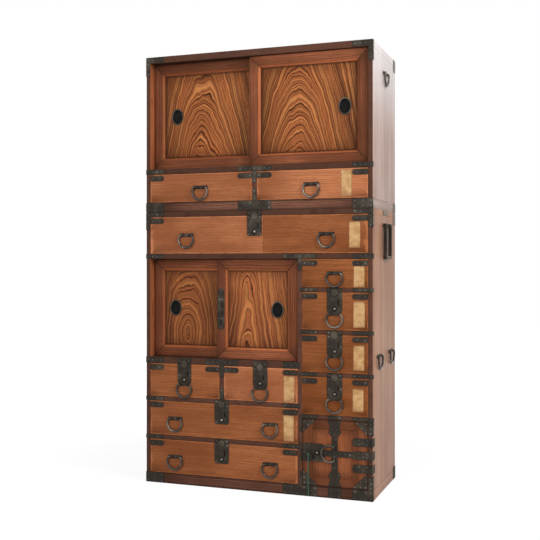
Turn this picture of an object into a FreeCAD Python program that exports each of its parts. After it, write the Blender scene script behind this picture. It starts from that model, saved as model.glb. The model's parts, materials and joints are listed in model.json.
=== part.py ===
import FreeCAD, Part
import math
import os
import re
import Sketcher

# A choba tansu: a merchant's chest of two stacked sections with drawers, sliding doors, a hinged
# safe door and forged iron fittings. Millimetres. X runs to the right, Y to the back, Z up.

SIZES = (
    # Case boards
    ("case_width", "910"),
    ("case_depth", "390"),
    ("side_thickness", "17"),
    ("back_thickness", "9"),
    ("base_board", "12"),
    ("base_rail", "24"),
    ("post_thickness", "17"),
    ("divider_thickness", "18"),
    ("column_width", "250"),
    ("rail_depth", "45"),
    ("runner_width", "22"),
    # Heights of the lower section, from the floor up
    ("base_height", "41"),
    ("safe_height", "246"),
    ("column_rail", "16"),
    ("column_drawer_height", "140"),
    ("top_column_drawer_height", "106"),
    ("long_lower_height", "131"),
    ("long_upper_height", "133"),
    ("long_rail", "17"),
    ("small_drawer_height", "130"),
    ("lower_sill", "25"),
    ("shelf_thickness", "20"),
    ("wide_drawer_height", "144"),
    ("lower_top", "19"),
    # Heights of the upper section
    ("upper_base_height", "38"),
    ("upper_drawer_height", "110"),
    ("upper_sill", "21"),
    ("upper_door_height", "416"),
    ("upper_top", "25"),
    # Drawers
    ("drawer_gap", "1"),
    ("drawer_front", "20"),
    ("drawer_wall", "9"),
    ("drawer_bottom", "6"),
    ("drawer_bottom_rise", "3"),
    ("drawer_side_drop", "10"),
    ("drawer_back_gap", "14"),
    # Sliding doors
    ("door_recess", "10"),
    ("door_thickness", "21"),
    ("door_spacing", "2"),
    ("door_overlap", "50"),
    ("door_side_gap", "1"),
    ("door_foot_gap", "1"),
    ("door_head_gap", "2"),
    ("frame_width", "44"),
    ("frame_bevel", "9"),
    ("panel_thickness", "7"),
    ("panel_groove", "8"),
    ("tongue_thickness", "9"),
    ("track_clearance", "0.5"),
    ("sill_track_depth", "4"),
    ("head_track_depth", "10"),
    ("head_tongue", "8"),
    # Oval finger cups
    ("upper_left_cup_inset", "98"),
    ("upper_right_cup_inset", "90"),
    ("lower_left_cup_inset", "90"),
    ("lower_right_cup_inset", "84"),
    ("cup_width", "50"),
    ("cup_height", "64"),
    ("cup_rim", "4.5"),
    ("cup_rim_thickness", "2.5"),
    ("cup_wall", "1.5"),
    ("cup_depth", "10"),
    # Sheet irons
    ("iron", "1.5"),
    ("iron_reach", "58"),
    ("iron_margin", "1"),
    ("iron_wrap", "14"),
    ("corner_arm", "50"),
    ("rear_iron_depth", "38"),
    ("rear_iron_height", "50"),
    ("stem_length", "44"),
    ("corner_iron_height", "20"),
    ("corner_iron_drop", "5"),
    ("corner_iron_round", "9"),
    # Locks
    ("lock_thickness", "3"),
    ("strike_thickness", "2.5"),
    ("lock_half_width", "29"),
    ("lock_drop", "76"),
    ("lock_round", "8"),
    ("lock_shoulder", "66"),
    ("lock_tail_half_width", "21"),
    ("lock_tail_drop", "84"),
    ("lock_disc_radius", "13"),
    ("lock_disc_thickness", "2"),
    ("keyhole_offset", "13"),
    ("keyhole_width", "5"),
    ("keyhole_height", "20"),
    ("keyhole_drop", "28"),
    ("stile_lock_half_width", "14"),
    ("stile_lock_height", "158"),
    ("stile_lock_round", "13.5"),
    ("stile_bar_half_width", "4"),
    ("stile_bar_height", "60"),
    ("stile_bar_reach", "4"),
    ("stud_radius", "5.5"),
    ("stud_drop", "60"),
    ("stud_collar_radius", "9.5"),
    ("stud_collar_thickness", "1"),
    # Swinging rings and their eyes
    ("ring_bar_radius", "3.5"),
    ("pull_radius", "30.5"),
    ("pull_drop", "18"),
    ("carry_radius", "35"),
    ("carry_drop", "10"),
    ("pin_radius", "2.5"),
    ("pin_clearance", "0.1"),
    ("pin_inner", "11"),
    ("eye_inner", "12"),
    ("eye_width", "5.5"),
    ("carry_eye_inner", "21"),
    ("carry_pin_inner", "20"),
    ("eye_radius", "4.5"),
    ("eye_standoff", "8"),
    ("ring_plate_half_width", "30"),
    ("ring_plate_height", "14"),
    ("end_ring_inset", "156"),
    ("long_ring_inset", "108"),
    # Fittings on the sides of the case
    ("upper_ring_drop", "88"),
    ("upper_ring_depth", "200"),
    ("lower_ring_level", "516"),
    ("lower_ring_front", "100"),
    ("lower_ring_back", "303"),
    ("pole_level_drop", "56"),
    ("pole_depth", "210"),
    ("pole_half_width", "48"),
    ("pole_bar", "12"),
    ("pole_drop", "128"),
    ("pole_end", "5"),
    ("pole_round", "18"),
    ("pole_pin_radius", "4"),
    ("pole_eye_radius", "7"),
    ("pole_eye_width", "13"),
    ("pole_eye_gap", "1"),
    ("pole_standoff", "10"),
    ("clip_half_width", "38"),
    # Safe door
    ("safe_arm", "50"),
    ("safe_gap", "2"),
    ("safe_proud", "0.3"),
    ("safe_thickness", "20"),
    ("safe_stile", "40"),
    ("safe_rail", "34"),
    ("safe_panel_set", "1"),
    ("safe_panel", "14"),
    ("safe_iron", "2"),
    ("safe_corner", "48"),
    ("safe_foot_corner", "56"),
    ("safe_strap_half", "11"),
    ("safe_flare_half", "25"),
    ("safe_waist_half", "17"),
    ("safe_waist_rise", "24"),
    ("safe_bump_half", "24"),
    ("safe_bump_rise", "42"),
    ("safe_neck_rise", "58"),
    ("safe_lock_width", "80"),
    ("safe_lock_height", "66"),
    ("staple_inset", "27"),
    ("staple_half_width", "10"),
    ("staple_bar", "4"),
    ("staple_reach", "12"),
    ("safe_stud_inset", "59"),
    ("hinge_height", "30"),
    ("hinge_spacing", "48"),
    ("hinge_radius", "4"),
    ("hinge_pin_radius", "1.8"),
    ("hinge_knuckle", "14"),
    ("hinge_knuckle_gap", "0.3"),
    ("hinge_leaf", "28"),
    ("hinge_clearance", "0.5"),
    ("hinge_round", "11"),
    ("cord_radius", "2.5"),
)

doc = FreeCAD.newDocument("choba_tansu")
sheet = doc.addObject("Spreadsheet::Sheet", "Sizes")
for row, (alias, number) in enumerate(SIZES, 1):
    sheet.set(f"A{row}", alias)
    sheet.set(f"B{row}", number)
    sheet.setAlias(f"B{row}", alias)
doc.recompute()

ALIASES = {alias for alias, number in SIZES}
X_AXIS = FreeCAD.Vector(1, 0, 0)
Y_AXIS = FreeCAD.Vector(0, 1, 0)
Z_AXIS = FreeCAD.Vector(0, 0, 1)
AS_BUILT = FreeCAD.Rotation()
UPRIGHT = FreeCAD.Rotation(Z_AXIS, X_AXIS, Y_AXIS, "ZXY")
nodes = []


# Small helpers

def tied(rule):
    """Turn a rule written in the sheet's words into an expression on its cells."""
    return re.sub(r"[a-z]\w*", lambda word: f"Sizes.{word[0]}" if word[0] in ALIASES else word[0], str(rule))


def value(rule):
    """The number that a rule gives today."""
    answer = sheet.evalExpression(tied(rule).replace("Sizes.", ""))
    return float(getattr(answer, "Value", answer))


def bind(thing, **rules):
    """Tie sizes of an object to the sheet."""
    for name, rule in rules.items():
        thing.setExpression(name, tied(rule))


def place(thing, x="0", y="0", z="0", turn=AS_BUILT):
    """Tie an object's place to the sheet, after turning it."""
    thing.Placement = FreeCAD.Placement(FreeCAD.Vector(), turn)
    for axis, rule in zip("xyz", (x, y, z)):
        thing.setExpression(f".Placement.Base.{axis}", tied(rule))
    return thing


def box(name, across, deep, high):
    """A squared piece from its low and high limits along X, Y and Z."""
    piece = doc.addObject("Part::Box", name)
    lows = [pair[0] for pair in (across, deep, high)]
    sizes = [f"({pair[1]}) - ({pair[0]})" for pair in (across, deep, high)]
    bind(piece, Length=sizes[0], Width=sizes[1], Height=sizes[2])
    return place(piece, *lows)


def rod(name, radius, length, x, y, z, axis):
    """A round bar that starts at a point and runs along an axis."""
    piece = doc.addObject("Part::Cylinder", name)
    bind(piece, Radius=radius, Height=length)
    return place(piece, x, y, z, FreeCAD.Rotation(Z_AXIS, axis))


def fused(name, pieces):
    """Several shapes forged or cut from one piece."""
    whole = doc.addObject("Part::MultiFuse", name)
    whole.Shapes = pieces
    whole.Refine = True
    return whole


def cut(name, base, tools):
    """A shape with other shapes taken out of it."""
    whole = doc.addObject("Part::Cut", name)
    whole.Base = base
    whole.Tool = tools[0] if len(tools) == 1 else fused(name + "_tool", tools)
    return whole


def group(name, pieces, x="0", y="0", z="0", turn=AS_BUILT):
    """Separate pieces kept together."""
    whole = doc.addObject("Part::Compound", name)
    whole.Links = pieces
    return place(whole, x, y, z, turn)


def node(name, pieces, x="0", y="0", z="0", turn=AS_BUILT):
    """A named sub-part. Its Y is measured from the front plane of the case."""
    whole = group(name, pieces, x, f"{front_plane} + ({y})", z, turn)
    whole.Label = name
    nodes.append(whole)
    return whole


def plane_of(body, role):
    """One of a body's own origin planes."""
    return next(item for item in body.Origin.OriginFeatures if item.Role == role)


def sketch_on(body, name, role):
    sketch = body.newObject("Sketcher::SketchObject", name)
    sketch.AttachmentSupport = (plane_of(body, role), [""])
    sketch.MapMode = "FlatFace"
    return sketch


def outline(sketch, points):
    """A closed outline whose corners are each tied to the sheet."""
    here = [FreeCAD.Vector(value(x), value(z), 0) for x, z in points]
    for index, start in enumerate(here):
        end = here[(index + 1) % len(here)]
        sketch.addGeometry(Part.LineSegment(start, end), False)
    for index, (x, z) in enumerate(points):
        following = (index + 1) % len(points)
        sketch.addConstraint(Sketcher.Constraint("Coincident", index, 2, following, 1))
        across = sketch.addConstraint(Sketcher.Constraint("DistanceX", -1, 1, index, 1, here[index].x))
        up = sketch.addConstraint(Sketcher.Constraint("DistanceY", -1, 1, index, 1, here[index].y))
        sketch.setExpression(f"Constraints[{across}]", tied(x))
        sketch.setExpression(f"Constraints[{up}]", tied(z))


def plate(name, points, thickness, back="0"):
    """A flat piece cut to an outline seen from the front. Its back lies at the given Y."""
    body = doc.addObject("PartDesign::Body", name)
    sketch = sketch_on(body, name + "_outline", "XZ_Plane")
    outline(sketch, points)
    pad = body.newObject("PartDesign::Pad", name + "_pad")
    pad.Profile = sketch
    bind(pad, Length=thickness)
    body.Tip = pad
    return place(body, y=back)


def edges_where(feature, test):
    """The names of a feature's edges whose two ends pass a test."""
    doc.recompute()
    names = []
    for index, edge in enumerate(feature.Shape.Edges, 1):
        ends = [vertex.Point for vertex in edge.Vertexes]
        if len(ends) == 2 and test(*ends):
            names.append(f"Edge{index}")
    return names


def same(first, second):
    return abs(first - second) < 0.01


def rounded(body, test, radius):
    """Round the edges of a body that pass a test."""
    base = body.Tip
    edges = edges_where(base, test)
    fillet = body.newObject("PartDesign::Fillet", body.Name + "_round")
    fillet.Base = (base, edges)
    bind(fillet, Radius=radius)
    body.Tip = fillet
    return body


def through(first, second):
    """An edge that runs straight from the front to the back."""
    return same(first.x, second.x) and same(first.z, second.z)


# Places that many pieces share

def stack(start, *heights):
    """Levels reached by piling heights on a start."""
    levels = [start]
    for height in heights:
        levels.append(f"{levels[-1]} + {height}")
    return levels


hardware_reach = "(safe_proud + eye_standoff + eye_radius)"
front_plane = f"({hardware_reach} - case_depth) / 2"
half_width = "case_width / 2"
inside = "(case_width / 2 - side_thickness)"
back_face = "(case_depth - back_thickness)"
post_right = f"({inside} - column_width)"
post_left = f"({post_right} - post_thickness)"
post_middle = f"({post_right} - post_thickness / 2)"
block_width = f"({post_left} + {inside})"
block_middle = f"(({post_left} - {inside}) / 2)"
column_middle = f"({inside} - column_width / 2)"

safe_top, col4, col4_top, col3, col3_top, col2, col2_top, col1, column_top = stack(
    "base_height", "safe_height", "column_rail", "column_drawer_height", "column_rail",
    "column_drawer_height", "column_rail", "column_drawer_height", "column_rail",
    "top_column_drawer_height")[1:]
long_lower = "base_height"
long_lower_top, long_upper, long_upper_top, small, small_top, lower_door = stack(
    "base_height", "long_lower_height", "long_rail", "long_upper_height", "long_rail",
    "small_drawer_height", "lower_sill")[1:]
wide, wide_top, lower_top_level = stack(column_top, "shelf_thickness", "wide_drawer_height", "lower_top")[1:]
upper_drawer, upper_drawer_top, upper_door, upper_door_top, upper_top_level = stack(
    lower_top_level, "upper_base_height", "upper_drawer_height", "upper_sill", "upper_door_height",
    "upper_top")[1:]
small_width = f"(({block_width} - divider_thickness) / 2)"
upper_drawer_width = f"({inside} - divider_thickness / 2)"
rear_door = "(door_recess + door_thickness + door_spacing)"
drawer_length = f"({back_face} - drawer_back_gap)"
upper_ring_level = f"({upper_top_level} - upper_ring_drop)"
pole_level = f"({lower_top_level} - pole_level_drop)"
full_width = (f"-{half_width}", half_width)
between_sides = (f"-{inside}", inside)
front_to_back = ("0", "case_depth")
front_to_back_planks = ("0", back_face)


def mirrored(span, hand):
    """A span measured outwards from the middle, on the right (+1) or left (-1) hand."""
    return span if hand > 0 else (f"-({span[1]})", f"-({span[0]})")


# Case boards

def base_frame(name, low, high):
    """Four rails round the foot of a section and the board inside them."""
    rail_back = "case_depth - base_rail"
    return [
        box(name + "_front_rail", full_width, ("0", "base_rail"), (low, high)),
        box(name + "_back_rail", full_width, (rail_back, "case_depth"), (low, high)),
        *[box(f"{name}_{side}_rail", mirrored((f"{half_width} - base_rail", half_width), hand),
              ("base_rail", rail_back), (low, high)) for side, hand in (("left", -1), ("right", 1))],
        box(name + "_board", (f"-{half_width} + base_rail", f"{half_width} - base_rail"),
            ("base_rail", rail_back), (f"{high} - base_board", high)),
    ]


def sides(name, low, high):
    return [box(f"{name}_{side}_side", mirrored((inside, half_width), hand), front_to_back, (low, high))
            for side, hand in (("left", -1), ("right", 1))]


def back_planks(name, low, high, count):
    """Planks that close the back, one above the other."""
    step = f"(({high}) - ({low})) / {count}"
    return [box(f"{name}_back_{index + 1}", between_sides, (back_face, "case_depth"),
                (f"{low} + {step} * {index}", f"{low} + {step} * {index + 1}")) for index in range(count)]


def tracks(name, across, high):
    """Two grooves for sliding doors, one behind the other."""
    grooves = []
    for track, recess in (("front", "door_recess"), ("rear", rear_door)):
        start = f"{recess} + (door_thickness - tongue_thickness) / 2"
        end = f"{start} + tongue_thickness"
        grooves.append(box(f"{name}_{track}_track", across,
                           (f"{start} - track_clearance", f"{end} + track_clearance"), high))
    return grooves


def sill_board(name, across, low, high):
    """A board with two tracks ploughed along its top."""
    board = box(name + "_blank", across, front_to_back_planks, (low, high))
    return cut(name, board, tracks(name, across, (f"{high} - sill_track_depth", high)))


def head_board(name, across, deep, track_across, low, high):
    """A board with two deeper tracks along its underside."""
    board = box(name + "_blank", across, deep, (low, high))
    return cut(name, board, tracks(name, track_across, (low, f"{low} + head_track_depth")))


def rail_with_runners(name, across, low, high, middle=None):
    """A front rail and the runners behind it that carry the drawers above."""
    behind = ("rail_depth", back_face)
    pieces = [box(name, across, ("0", "rail_depth"), (low, high)),
              box(name + "_left_runner", (across[0], f"{across[0]} + runner_width"), behind, (low, high)),
              box(name + "_right_runner", (f"{across[1]} - runner_width", across[1]), behind, (low, high))]
    if middle:
        reach = "(divider_thickness / 2 + runner_width)"
        pieces.append(box(name + "_middle_runner", (f"{middle} - {reach}", f"{middle} + {reach}"), behind,
                          (low, high)))
    return pieces


def about(middle, half):
    return (f"{middle} - ({half})", f"{middle} + ({half})")


block = (f"-{inside}", post_left)
column = (post_right, inside)

node("lower_case", [
    *base_frame("lower_base", "0", "base_height"),
    *sides("lower", "base_height", wide_top),
    box("lower_top_board", full_width, front_to_back, (wide_top, lower_top_level)),
    *back_planks("lower", "base_height", wide_top, 4),
])

node("lower_front_frame", [
    head_board("door_shelf", between_sides, front_to_back_planks, block, column_top, wide),
    box("post", (post_left, post_right), front_to_back_planks, ("base_height", column_top)),
    *rail_with_runners("long_rail_lower", block, long_lower_top, long_upper),
    *rail_with_runners("long_rail_upper", block, long_upper_top, small, block_middle),
    box("small_divider", about(block_middle, "divider_thickness / 2"), front_to_back_planks,
        (small, small_top)),
    sill_board("lower_door_sill", block, small_top, lower_door),
    box("safe_lid", column, front_to_back_planks, (safe_top, col4)),
    *rail_with_runners("column_rail_4", column, col4_top, col3),
    *rail_with_runners("column_rail_3", column, col3_top, col2),
    *rail_with_runners("column_rail_2", column, col2_top, col1),
])

node("upper_case", [
    *base_frame("upper_base", lower_top_level, upper_drawer),
    *sides("upper", upper_drawer, upper_door_top),
    head_board("upper_top_board", full_width, front_to_back, between_sides, upper_door_top, upper_top_level),
    *back_planks("upper", upper_drawer, upper_door_top, 3),
])

node("upper_front_frame", [
    sill_board("upper_door_sill", between_sides, upper_drawer_top, upper_door),
    box("upper_divider", ("-divider_thickness / 2", "divider_thickness / 2"), front_to_back_planks,
        (upper_drawer, upper_drawer_top)),
])


# Swinging rings, made about the middle of their pin line with the ring hanging along -Z

def ring(name, radius, drop, pin_inner):
    """A forged ring, open at the top, whose two pins turn in a pair of eyes."""
    body = doc.addObject("PartDesign::Body", name)
    section = sketch_on(body, name + "_section", "YZ_Plane")
    low = -value(f"{drop} + {radius}")
    centre = -value(drop)
    section.addGeometry(Part.Circle(FreeCAD.Vector(0, low, 0), Z_AXIS, value("ring_bar_radius")), False)
    section.addGeometry(Part.LineSegment(FreeCAD.Vector(0, centre, 0), FreeCAD.Vector(10, centre, 0)), True)
    bar = section.addConstraint(Sketcher.Constraint("Radius", 0, value("ring_bar_radius")))
    section.addConstraint(Sketcher.Constraint("PointOnObject", 0, 3, -2))
    down = section.addConstraint(Sketcher.Constraint("DistanceY", -1, 1, 0, 3, low))
    section.addConstraint(Sketcher.Constraint("Horizontal", 1))
    section.addConstraint(Sketcher.Constraint("PointOnObject", 1, 1, -2))
    middle = section.addConstraint(Sketcher.Constraint("DistanceY", -1, 1, 1, 1, centre))
    section.addConstraint(Sketcher.Constraint("DistanceX", 1, 1, 1, 2, 10))
    section.setExpression(f"Constraints[{bar}]", tied("ring_bar_radius"))
    section.setExpression(f"Constraints[{down}]", tied(f"-({drop} + {radius})"))
    section.setExpression(f"Constraints[{middle}]", tied(f"-{drop}"))
    arc = body.newObject("PartDesign::Revolution", name + "_arc")
    arc.Profile = section
    arc.ReferenceAxis = (section, ["Axis0"])
    arc.Midplane = True
    bind(arc, Angle=f"360 - 2 * acos(({drop} + ring_bar_radius / 2) / {radius}) / 1 deg")
    body.Tip = arc
    half_chord = f"sqrt(({radius}) ^ 2 - ({drop}) ^ 2)"
    for side, start in (("right", pin_inner), ("left", f"-{half_chord}")):
        pin = body.newObject("PartDesign::AdditiveCylinder", f"{name}_{side}_pin")
        bind(pin, Radius="pin_radius", Height=f"{half_chord} - {pin_inner}")
        place(pin, start, turn=FreeCAD.Rotation(Z_AXIS, X_AXIS))
        body.Tip = pin
    return body


def eye(name, inner, width, radius, pin, standoff, seat):
    """One eye: a lug on a plate with a bore for the ring's pin."""
    length = f"({width})"
    lug = fused(name + "_lug", [
        box(name + "_foot", (inner, f"{inner} + {width}"), ("0", f"{standoff} - {seat}"),
            (f"-{radius}", radius)),
        rod(name + "_round", radius, length, inner, "0", "0", X_AXIS)])
    return cut(name, lug, [rod(name + "_bore", f"{pin} + pin_clearance", length, inner, "0", "0", X_AXIS)])


def eyes(name, inner, seat):
    """A pair of eyes for a ring, standing on a plate of the given thickness."""
    return [eye(name + "_right_eye", inner, "eye_width", "eye_radius", "pin_radius", "eye_standoff", seat),
            eye(name + "_left_eye", f"-({inner} + eye_width)", "eye_width", "eye_radius", "pin_radius",
                "eye_standoff", seat)]


def ring_plate(name, half, seat):
    """The small plate behind a pair of eyes."""
    return box(name + "_plate", (f"-{half}", half), (f"eye_standoff - {seat}", "eye_standoff"),
               ("-ring_plate_height / 2", "ring_plate_height / 2"))


# Drawers, made from the lower left front corner of their opening

def drawer_box(name, width, height):
    """Front, sides, back and bottom of one drawer."""
    left = "drawer_gap"
    right = f"{width} - drawer_gap"
    inner = (f"{left} + drawer_wall", f"{right} - drawer_wall")
    wall_top = f"{height} - drawer_side_drop"
    floor = "drawer_bottom_rise + drawer_bottom"
    behind = ("drawer_front", drawer_length)
    return [
        box(name + "_front", (left, right), ("0", "drawer_front"), ("drawer_gap", f"{height} - drawer_gap")),
        box(name + "_left_wall", (left, inner[0]), behind, ("0", wall_top)),
        box(name + "_right_wall", (inner[1], right), behind, ("0", wall_top)),
        box(name + "_back_wall", inner, (f"{drawer_length} - drawer_wall", drawer_length), (floor, wall_top)),
        box(name + "_bottom", inner, behind, ("drawer_bottom_rise", floor)),
    ]


def corner_iron(name, width, height, hand):
    """A strap on an upper corner of a drawer front, rounded at its inner end."""
    if hand < 0:
        across = ("drawer_gap", "drawer_gap + iron_reach")
    else:
        across = (f"{width} - drawer_gap - iron_reach", f"{width} - drawer_gap")
    high = f"{height} - drawer_gap - corner_iron_drop"
    low = f"{high} - corner_iron_height"
    body = plate(name, [(across[0], low), (across[1], low), (across[1], high), (across[0], high)], "iron")
    inner_end = value(across[1] if hand < 0 else across[0])
    return rounded(body, lambda a, b: through(a, b) and same(a.x, inner_end), "corner_iron_round")


def stud(name, x, y, z):
    """A domed stud on a round collar."""
    dome = doc.addObject("Part::Sphere", name + "_dome")
    dome.Angle1 = 0
    bind(dome, Radius="stud_radius")
    place(dome, x, y, z, FreeCAD.Rotation(Z_AXIS, -Y_AXIS))
    collar = rod(name + "_collar", "stud_collar_radius", "stud_collar_thickness", x, y, z, -Y_AXIS)
    return fused(name, [dome, collar])


def lock(name, width, height, tailed):
    """A lock plate with its keyhole, round boss over the rail and domed stud."""
    middle = f"{width} / 2"
    top = f"({height} - drawer_gap)"
    left = f"{middle} - lock_half_width"
    right = f"{middle} + lock_half_width"
    if tailed:
        tail = f"{top} - lock_tail_drop"
        shoulder = f"{top} - lock_shoulder"
        points = [(left, top), (left, shoulder), (f"{middle} - lock_tail_half_width", tail),
                  (f"{middle} + lock_tail_half_width", tail), (right, shoulder), (right, top)]
        sheet_iron = plate(name + "_blank", points, "lock_thickness")
    else:
        foot = f"{top} - lock_drop"
        sheet_iron = plate(name + "_blank", [(left, top), (left, foot), (right, foot), (right, top)],
                           "lock_thickness")
        level = value(foot)
        rounded(sheet_iron, lambda a, b: through(a, b) and same(a.z, level), "lock_round")
    slot_top = f"{top} - keyhole_drop"
    keyhole = box(name + "_keyhole", about(f"{middle} + keyhole_offset", "keyhole_width / 2"),
                  ("-lock_thickness", "0"), (f"{slot_top} - keyhole_height", slot_top))
    boss = rod(name + "_boss", "lock_disc_radius", "lock_disc_thickness", middle, "-lock_thickness", top,
               -Y_AXIS)
    return [cut(name, sheet_iron, [keyhole]), boss,
            stud(name + "_stud", middle, "-lock_thickness", f"{top} - stud_drop")]


def drawer(name, x, z, width, height, rings, has_lock=False):
    """One drawer: its box, its irons and its swinging rings."""
    node(name, drawer_box(name, width, height), x, "0", z)
    irons = [corner_iron(f"{name}_left_corner", width, height, -1),
             corner_iron(f"{name}_right_corner", width, height, 1)]
    tailed = has_lock and len(rings) == 1
    if has_lock:
        irons += lock(name + "_lock", width, height, tailed)
    for ring_name, ring_x in rings:
        level = f"({height}) / 2"
        if tailed:
            level = f"{height} - drawer_gap - lock_tail_drop + eye_radius"
            mount = eyes(ring_name, "eye_inner", "lock_thickness")
        else:
            mount = eyes(ring_name, "eye_inner", "iron")
            mount.append(ring_plate(ring_name, "ring_plate_half_width", "iron"))
        irons.append(group(ring_name + "_mount", mount, ring_x, "-eye_standoff", level))
        node(ring_name, [ring(ring_name + "_bar", "pull_radius", "pull_drop", "pin_inner")],
             f"{x} + {ring_x}", "-eye_standoff", f"{z} + {level}")
    node(name + "_irons", irons, x, "0", z)


def one_ring(name, width):
    return [(name + "_ring", f"{width} / 2")]


def two_rings(name, width, inset):
    return [(name + "_left_ring", inset), (name + "_right_ring", f"{width} - {inset}")]


wide_width = f"(2 * {inside})"
drawer("upper_left_drawer", f"-{inside}", upper_drawer, upper_drawer_width, "upper_drawer_height",
       one_ring("upper_left_drawer", upper_drawer_width))
drawer("upper_right_drawer", "divider_thickness / 2", upper_drawer, upper_drawer_width, "upper_drawer_height",
       one_ring("upper_right_drawer", upper_drawer_width))
drawer("wide_drawer", f"-{inside}", wide, wide_width, "wide_drawer_height",
       two_rings("wide_drawer", wide_width, "end_ring_inset"), True)
drawer("long_upper_drawer", f"-{inside}", long_upper, block_width, "long_upper_height",
       two_rings("long_upper_drawer", block_width, "long_ring_inset"), True)
drawer("long_lower_drawer", f"-{inside}", long_lower, block_width, "long_lower_height",
       two_rings("long_lower_drawer", block_width, "long_ring_inset"), True)
drawer("small_left_drawer", f"-{inside}", small, small_width, "small_drawer_height",
       one_ring("small_left_drawer", small_width), True)
drawer("small_right_drawer", f"{post_left} - {small_width}", small, small_width, "small_drawer_height",
       one_ring("small_right_drawer", small_width), True)
drawer("column_drawer_1", post_right, col1, "column_width", "top_column_drawer_height",
       one_ring("column_drawer_1", "column_width"))
for number, level in ((2, col2), (3, col3), (4, col4)):
    drawer(f"column_drawer_{number}", post_right, level, "column_width", "column_drawer_height",
           one_ring(f"column_drawer_{number}", "column_width"), True)


# Sliding doors, made from the lower left corner of their front face

def frame_member(name, points, width, height, inner_edge):
    """One mitred stile or rail with a bevelled lip and a groove for the panel."""
    body = plate(name, points, "door_thickness")
    pad = body.Tip
    pad.Reversed = True
    lip = edges_where(pad, lambda a, b: same(a.y, 0) and same(b.y, 0) and inner_edge(a, b))
    chamfer = body.newObject("PartDesign::Chamfer", name + "_lip")
    chamfer.Base = (pad, lip)
    bind(chamfer, Size="frame_bevel")
    body.Tip = chamfer
    reach = "(frame_width - panel_groove)"
    groove = body.newObject("PartDesign::SubtractiveBox", name + "_groove")
    bind(groove, Length=f"{width} - 2 * {reach}", Width="panel_thickness", Height=f"{height} - 2 * {reach}")
    place(groove, reach, "frame_bevel", reach)
    body.Tip = groove
    return body


def tongue(member, name, width, low, high):
    """The strip of a rail that runs in a track."""
    strip = member.newObject("PartDesign::AdditiveBox", name)
    bind(strip, Length=width, Width="tongue_thickness", Height=f"({high}) - ({low})")
    place(strip, "0", "(door_thickness - tongue_thickness) / 2", low)
    member.Tip = strip


def oval(name, half_width_rule, half_height_rule, x, z, front, length):
    """An upright oval bar that starts at a depth and runs to the back."""
    curve = doc.addObject("Part::Ellipse", name + "_curve")
    bind(curve, MajorRadius=half_height_rule, MinorRadius=half_width_rule)
    bar = doc.addObject("Part::Extrusion", name)
    bar.Base = curve
    bar.DirMode = "Custom"
    bar.Dir = Z_AXIS
    bar.Solid = True
    bind(bar, LengthFwd=length)
    return place(bar, x, front, z, UPRIGHT)


def door_frame(name, width, height):
    """Two stiles and two rails, mitred at the corners, the rails with tongues."""
    edge = "frame_width"
    far_x = f"{width} - {edge}"
    far_z = f"{height} - {edge}"
    left, right = value(edge), value(far_x)
    low, high = value(edge), value(far_z)
    left_stile = frame_member(
        name + "_left_stile", [("0", "0"), (edge, edge), (edge, far_z), ("0", height)], width, height,
        lambda a, b: same(a.x, left) and same(b.x, left))
    right_stile = frame_member(
        name + "_right_stile", [(width, "0"), (width, height), (far_x, far_z), (far_x, edge)], width, height,
        lambda a, b: same(a.x, right) and same(b.x, right))
    foot_rail = frame_member(
        name + "_foot_rail", [("0", "0"), (width, "0"), (far_x, edge), (edge, edge)], width, height,
        lambda a, b: same(a.z, low) and same(b.z, low))
    head_rail = frame_member(
        name + "_head_rail", [("0", height), (edge, far_z), (far_x, far_z), (width, height)], width, height,
        lambda a, b: same(a.z, high) and same(b.z, high))
    tongue(foot_rail, name + "_foot_tongue", width, "-door_foot_gap - sill_track_depth", "0")
    tongue(head_rail, name + "_head_tongue", width, height, f"{height} + door_head_gap + head_tongue")
    return [left_stile, right_stile, foot_rail, head_rail]


def sliding_door(name, x, z, width, height, recess, cup_x):
    """A framed door, its figured panel and its finger cup."""
    members = door_frame(name, width, height)
    reach = "(frame_width - panel_groove)"
    blank = box(name + "_panel_blank", (reach, f"{width} - {reach}"),
                ("frame_bevel", "frame_bevel + panel_thickness"), (reach, f"{height} - {reach}"))
    cup_z = f"({height}) / 2"
    body_half = ("cup_width / 2 - cup_rim + cup_wall", "cup_height / 2 - cup_rim + cup_wall")
    hole = oval(name + "_cup_hole", *body_half, cup_x, cup_z, "frame_bevel", "panel_thickness")
    panel = cut(name + "_panel", blank, [hole])
    node(name, [*members, panel], x, recess, z)
    rim = oval(name + "_cup_rim", "cup_width / 2", "cup_height / 2", cup_x, cup_z,
               "frame_bevel - cup_rim_thickness", "cup_rim_thickness")
    well = oval(name + "_cup_well", *body_half, cup_x, cup_z, "frame_bevel", "cup_depth")
    hollow = oval(name + "_cup_hollow", "cup_width / 2 - cup_rim", "cup_height / 2 - cup_rim", cup_x, cup_z,
                  "frame_bevel - cup_rim_thickness", "cup_rim_thickness + cup_depth - cup_wall")
    return [cut(name + "_cup", fused(name + "_cup_blank", [rim, well]), [hollow])]


def stile_lock(name, level):
    """A long round-ended lock plate on a door's stile, with a raised bar and a keyhole."""
    middle = "(frame_width - frame_bevel) / 2"
    left, right = about(middle, "stile_lock_half_width")
    low, high = about(level, "stile_lock_height / 2")
    blank = plate(name + "_blank", [(left, low), (right, low), (right, high), (left, high)], "iron")
    rounded(blank, through, "stile_lock_round")
    slot_low = f"{level} - stile_bar_height"
    keyhole = box(name + "_keyhole", about(middle, "keyhole_width / 2"), ("-iron", "0"),
                  (slot_low, f"{slot_low} + keyhole_height"))
    bar = box(name + "_bar", about(middle, "stile_bar_half_width"), ("-iron - stile_bar_reach", "-iron"),
              about(level, "stile_bar_height / 2"))
    return [cut(name, blank, [keyhole]), bar]


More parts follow.
